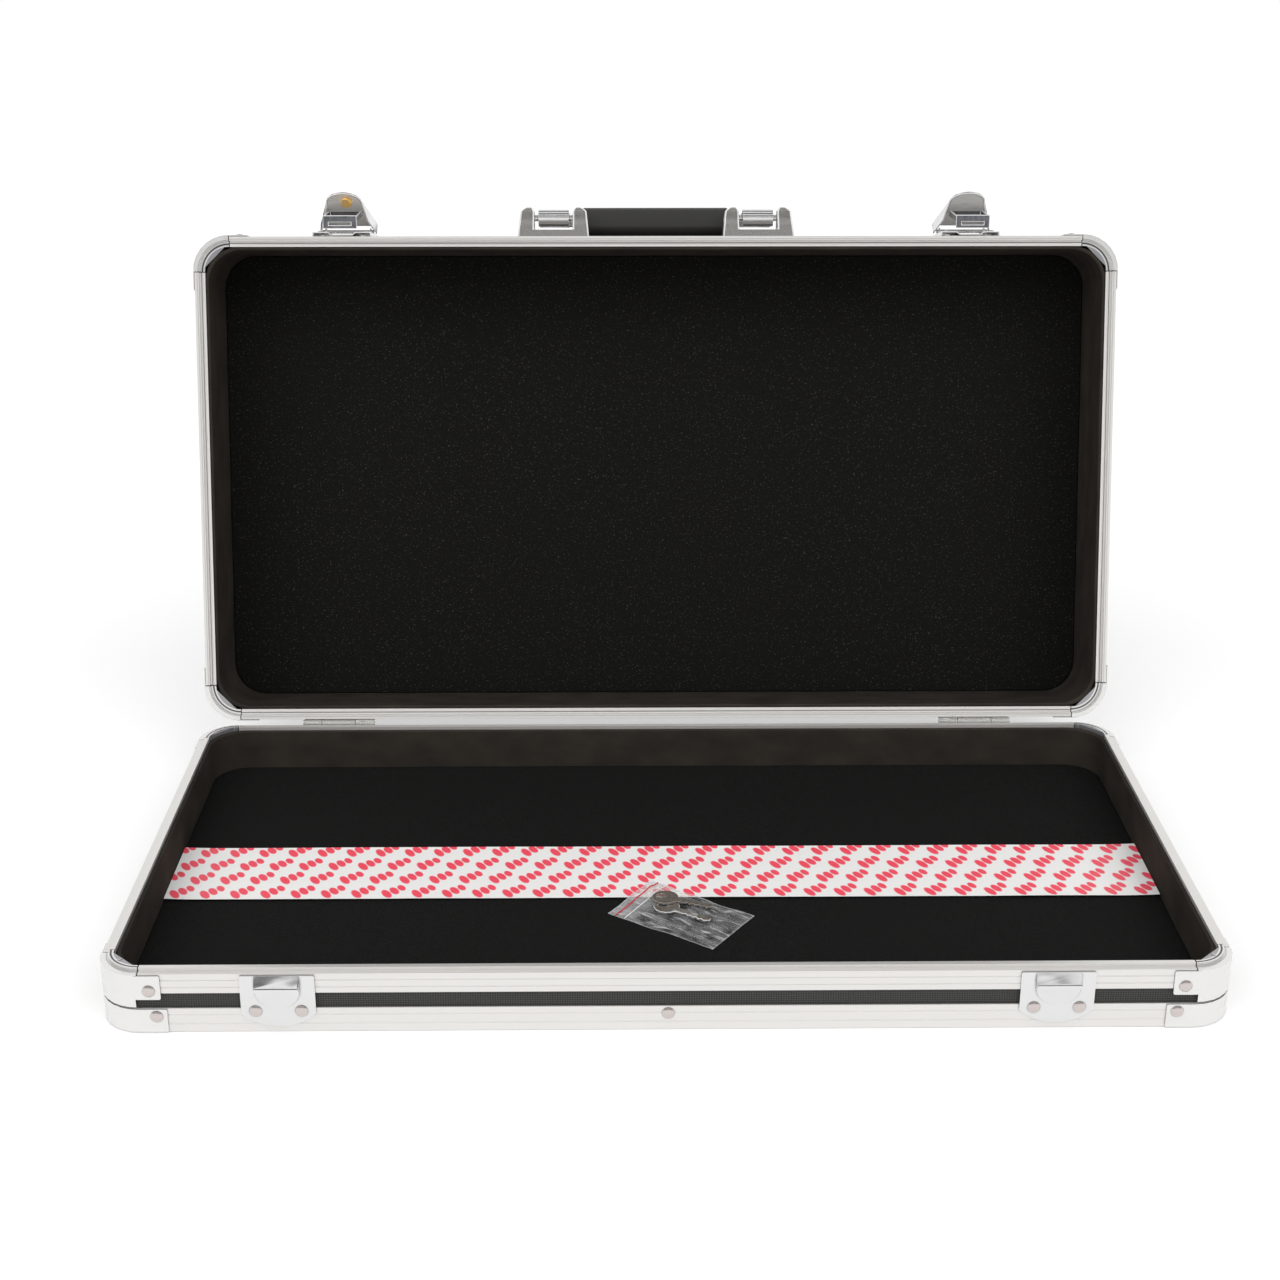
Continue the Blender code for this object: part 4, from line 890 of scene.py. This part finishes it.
def stripPoint(u, v):
    # u and v are mm along and across the flat strip
    x = u * mm - strip["length"] / 2
    y = v * mm - strip["width"] / 2
    fromEnd = strip["length"] / 2 - abs(x)
    lift = 0.0
    if fromEnd < strip["curl"]:
        lift = strip["curlRise"] * (1 - fromEnd / strip["curl"]) ** 2
    wave = strip["wave"] * (1 + noise.noise(Vector((x * 14, y * 9, 3.0))))
    # Each long side peels up here and there, on its own
    peel = max(0.0, abs(y) / (strip["width"] / 2) - strip["peelFrom"]) * strip["peelRise"]
    peel *= max(0.0, noise.noise(Vector((x * 10, 0.4 if y > 0 else 5.7, 0.0))))
    return Vector((x, y + strip["y"], strip["low"] + lift + wave + peel))


def stripSheet(name, lift, material, trim, thick):
    work = bmesh.new()
    flat = work.loops.layers.uv.new("flat")
    grid = []
    columns, rows = strip["columns"], strip["rows"]
    length, width = strip["length"] * perMetre, strip["width"] * perMetre
    for i in range(columns + 1):
        for j in range(rows + 1):
            u = trim + (length - 2 * trim) * i / columns
            v = trim + (width - 2 * trim) * j / rows
            grid.append((work.verts.new(stripPoint(u, v) + Vector((0, 0, lift))), u, v))
    for i in range(columns):
        for j in range(rows):
            steps = ((i, j), (i + 1, j), (i + 1, j + 1), (i, j + 1))
            corners = [grid[a * (rows + 1) + b] for a, b in steps]
            made = work.faces.new([corner[0] for corner in corners])
            for loop, corner in zip(made.loops, corners):
                loop[flat].uv = (corner[1], corner[2])
    piece = bpy.data.objects.new(name, finished(work, name))
    collection.objects.link(piece)
    wall = piece.modifiers.new("thickness", "SOLIDIFY")
    wall.thickness = thick
    wall.offset = 1.0
    made = settle(piece)
    bpy.data.objects.remove(piece)
    return addPiece(name, made, material, "base", smoothFrom=50)


print("tape strip")
tape = stripSheet("hook_tape", strip["lift"], hookTape(), strip["tapeInset"], strip["tape"])
onTape = strip["lift"] + strip["tape"]
paper = stripSheet("tape_liner", onTape, finishes["printed_liner"], 0.0, strip["paper"])
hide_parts("tape_strip")


# Key bag

bagPlace = Matrix.Translation((bag["x"], bag["y"], 0)) @ Matrix.Rotation(bag["turn"], 4, "Z")


def bagRest(y):
    # The bag lies on the strip, and past the strip's front edge it sinks to the floor
    edge = strip["y"] - strip["width"] / 2
    share = min(1.0, max(0.0, (edge + 4 * mm - y) / (14 * mm)))
    share = share * share * (3 - 2 * share)
    return bag["low"] + (bag["floor"] - bag["low"]) * share


def bagPoint(u, v, upper):
    # u and v run from 0 to 1 along and across the bag
    x = (u - 0.5) * bag["length"]
    y = (v - 0.5) * bag["width"]
    place = bagPlace @ Vector((x, y, 0))
    # It thins out towards the rims, swells over the keys and is crossed by folds and creases
    rim = min(1.0, 14 * min(u, 1 - u)) * min(1.0, 7 * min(v, 1 - v))
    fold = noise.noise(Vector((x * 60 + y * 95, y * 40 - x * 22, 2.0)))
    crease = 1 - abs(noise.noise(Vector((x * 120 - y * 60, y * 130, 7.0)))) * 2.2
    middle = math.exp(-((x - 2 * mm) / (22 * mm)) ** 2 - (y / (13 * mm)) ** 2)
    rise = (0.25 + 1.6 * middle + 0.75 * max(fold, -0.3) + 0.5 * crease) * mm * rim
    low = bagRest(place.y)
    place.z = low + (0.25 * mm + max(rise, 0.1 * mm) * 1.25 + 1.1 * mm * middle if upper else 0.0)
    wobble = noise.noise(Vector((x * 42, y * 42, 11.0))) * 1.9 * mm
    place.x += wobble * 0.5
    place.y += wobble
    place.z = min(place.z, bag["high"])
    return place


def keyBag():
    work = bmesh.new()
    flat = work.loops.layers.uv.new("flat")
    columns, rows = bag["columns"], bag["rows"]
    sheets = []
    for upper in (False, True):
        sheets.append([])
        for i in range(columns + 1):
            spots = [bagPoint(i / columns, j / rows, upper) for j in range(rows + 1)]
            sheets[-1].append([work.verts.new(spot) for spot in spots])
    for sheet, upper in zip(sheets, (False, True)):
        for i in range(columns):
            for j in range(rows):
                steps = ((i, j), (i + 1, j), (i + 1, j + 1), (i, j + 1))[::1 if upper else -1]
                made = work.faces.new([sheet[a][b] for a, b in steps])
                for loop, (a, b) in zip(made.loops, steps):
                    loop[flat].uv = (a if upper else a + bag["lowerFrom"], b)
    low, high = sheets
    for i in range(columns):
        work.faces.new((low[i][0], low[i + 1][0], high[i + 1][0], high[i][0]))
        work.faces.new((low[i + 1][-1], low[i][-1], high[i][-1], high[i + 1][-1]))
    for j in range(rows):
        work.faces.new((low[0][j + 1], low[0][j], high[0][j], high[0][j + 1]))
        work.faces.new((low[-1][j], low[-1][j + 1], high[-1][j + 1], high[-1][j]))
    mesh = finished(work, "film_bag")
    addPiece("film_bag", mesh, finishes["clear_film"], "base", ["key_bag"], 70)


def bead(name, back, material):
    curve = bpy.data.curves.new(name, "CURVE")
    curve.dimensions = "3D"
    curve.bevel_depth = bag["bead"]
    curve.bevel_resolution = 2
    curve.use_fill_caps = True
    spline = curve.splines.new("POLY")
    count = 30
    spline.points.add(count - 1)
    for j, point in enumerate(spline.points):
        spot = bagPoint(back / bag["length"], 0.01 + 0.98 * j / (count - 1), True)
        point.co = (*(spot + Vector((0, 0, bag["bead"] * 0.4))), 1)
    piece = bpy.data.objects.new(name, curve)
    collection.objects.link(piece)
    made = bpy.data.meshes.new_from_object(piece.evaluated_get(bpy.context.evaluated_depsgraph_get()))
    bpy.data.objects.remove(piece)
    work = bmesh.new()
    work.from_mesh(made)
    bmesh.ops.remove_doubles(work, verts=work.verts, dist=0.001 * mm)
    work.to_mesh(made)
    work.free()
    addPiece(name, made, material, "base", smoothFrom=50)


print("key bag")
keyBag()
bead("bag_red_zip", bag["redZip"], zipPlastic("red_polyethylene", "D8262E"))
bead("bag_white_zip", bag["whiteZip"], zipPlastic("white_polyethylene", "E8E8E8"))


# Floor, light and camera

studio = {
    "floorHalf": 7.0,  # metres
    "worldLight": 0.66,
    "lampStrength": 0.8,  # each of two wide softboxes, far off, so that the floor is lit evenly
    "lampSpread": math.radians(50),
    "lampsFrom": ((-0.85, -1.0, 1.2), (0.85, -1.0, 1.3)),
    "whiteFloor": 0.32,
    "ceilingHeight": 2.4,
    "ceilingBack": 2.5,  # it reaches from 7 m in front of the case to here
    "ceilingGrey": 0.07,
    "ceilingWhite": 1.0,
    "ceilingPitch": 1.5,
    "cardHalf": 2.0,
    "cardBack": 3.3,
    "cardHeight": 0.01,
}


def seenRays(tree):
    # 1 for the camera's rays and for those that metal and film send on, and 0 for the others
    rays = addNode(tree, "ShaderNodeLightPath").node.outputs
    seen = rays["Is Camera Ray"]
    for other in ("Is Glossy Ray", "Is Transmission Ray"):
        seen = addNode(tree, "ShaderNodeMath", [seen, rays[other]], operation="MAXIMUM")
    return seen


def whiteFloor():
    # Matt white paper, which also glows a little wherever it is seen
    made, tree, shader = startMaterial("white_paper_sweep", "E0E0E0", 0.9)
    strength = [seenRays(tree), studio["whiteFloor"]]
    strength = addNode(tree, "ShaderNodeMath", strength, operation="MULTIPLY")
    glow = addNode(tree, "ShaderNodeEmission", {"Color": (1, 1, 1, 1), "Strength": strength})
    both = addNode(tree, "ShaderNodeAddShader", [shader.outputs[0], glow])
    tree.links.new(both, tree.nodes["Material Output"].inputs["Surface"])
    return made


def darkCeiling():
    made = bpy.data.materials.new("dark_ceiling")
    made.use_nodes = True
    tree = made.node_tree
    tree.nodes.clear()
    # Rows of light panels across a dark ceiling
    place = addNode(tree, "ShaderNodeTexCoord", out="Object")
    across = addNode(tree, "ShaderNodeSeparateXYZ", [place], 1)
    turns = [across, 2 * math.pi / studio["ceilingPitch"]]
    turns = addNode(tree, "ShaderNodeMath", turns, operation="MULTIPLY")
    rows = addNode(tree, "ShaderNodeMath", [turns], operation="SINE")
    tones = [rows, 0.1, 0.5, studio["ceilingGrey"], studio["ceilingWhite"]]
    tones = addNode(tree, "ShaderNodeMapRange", tones)
    glow = addNode(tree, "ShaderNodeEmission", {"Color": (1, 1, 1, 1), "Strength": tones})
    addNode(tree, "ShaderNodeOutputMaterial", {"Surface": glow})
    return made


def stagePlane(name, half, back, height, material):
    mesh = bpy.data.meshes.new(name)
    corners = [(-half, -half, 0), (half, -half, 0), (half, back, 0), (-half, back, 0)]
    mesh.from_pydata(corners, [], [(0, 1, 2, 3)])
    mesh.materials.append(material)
    plane = bpy.data.objects.new(name, mesh)
    plane.location.z = height
    collection.objects.link(plane)
    return plane


def makeStudio():
    half = studio["floorHalf"]
    stagePlane("floor", half, half, -0.2 * mm, whiteFloor())
    # Only reflections see the ceiling, so that bright metal has something dark to mirror
    ceiling = stagePlane("ceiling", half, studio["ceilingBack"], studio["ceilingHeight"], darkCeiling())
    half = studio["cardHalf"]
    card = stagePlane("back_card", half, half, studio["cardHeight"], darkCeiling())
    card.location.y = studio["cardBack"]
    for board in (ceiling, card):
        board.visible_camera = board.visible_diffuse = board.visible_shadow = False
        board.visible_transmission = board.visible_volume_scatter = False
    world = bpy.data.worlds.new("white_room")
    bpy.context.scene.world = world
    world.use_nodes = True
    tree = world.node_tree
    tree.nodes.clear()
    white = {"Color": (1, 1, 1, 1), "Strength": 1.0}
    room = addNode(tree, "ShaderNodeBackground", {**white, "Strength": studio["worldLight"]})
    white = addNode(tree, "ShaderNodeBackground", white)
    mixed = addNode(tree, "ShaderNodeMixShader", [seenRays(tree), room, white])
    addNode(tree, "ShaderNodeOutputWorld", {"Surface": mixed})
    for number, way in enumerate(studio["lampsFrom"]):
        lamp = bpy.data.lights.new("softbox_%d" % number, "SUN")
        lamp.energy = studio["lampStrength"]
        lamp.angle = studio["lampSpread"]
        softbox = bpy.data.objects.new("softbox_%d" % number, lamp)
        softbox.rotation_euler = Vector(way).to_track_quat("Z", "Y").to_euler()
        collection.objects.link(softbox)


view = {
    "place": (-29.48 * mm, -1242.14 * mm, 677.13 * mm),
    "yaw": math.radians(0.6566),
    "down": math.radians(21.748),
    "roll": math.radians(0.060),
    "lens": 57.36,
    "sensor": 36.0,
}


def makeCamera():
    yaw, down, roll = view["yaw"], view["down"], view["roll"]
    forward = Vector((math.sin(yaw) * math.cos(down), math.cos(yaw) * math.cos(down), -math.sin(down)))
    right = Vector((math.cos(yaw), -math.sin(yaw), 0))
    up = right.cross(forward)
    right, up = right * math.cos(roll) + up * math.sin(roll), up * math.cos(roll) - right * math.sin(roll)
    data = bpy.data.cameras.new("camera")
    data.lens = view["lens"]
    data.sensor_width = view["sensor"]
    data.clip_end = 100
    camera = bpy.data.objects.new("camera", data)
    turn = Matrix((right, up, -forward)).transposed().to_4x4()
    camera.matrix_world = Matrix.Translation(view["place"]) @ turn
    collection.objects.link(camera)
    bpy.context.scene.camera = camera


print("studio and camera")
makeStudio()
makeCamera()
bpy.context.scene.view_settings.view_transform = "Standard"
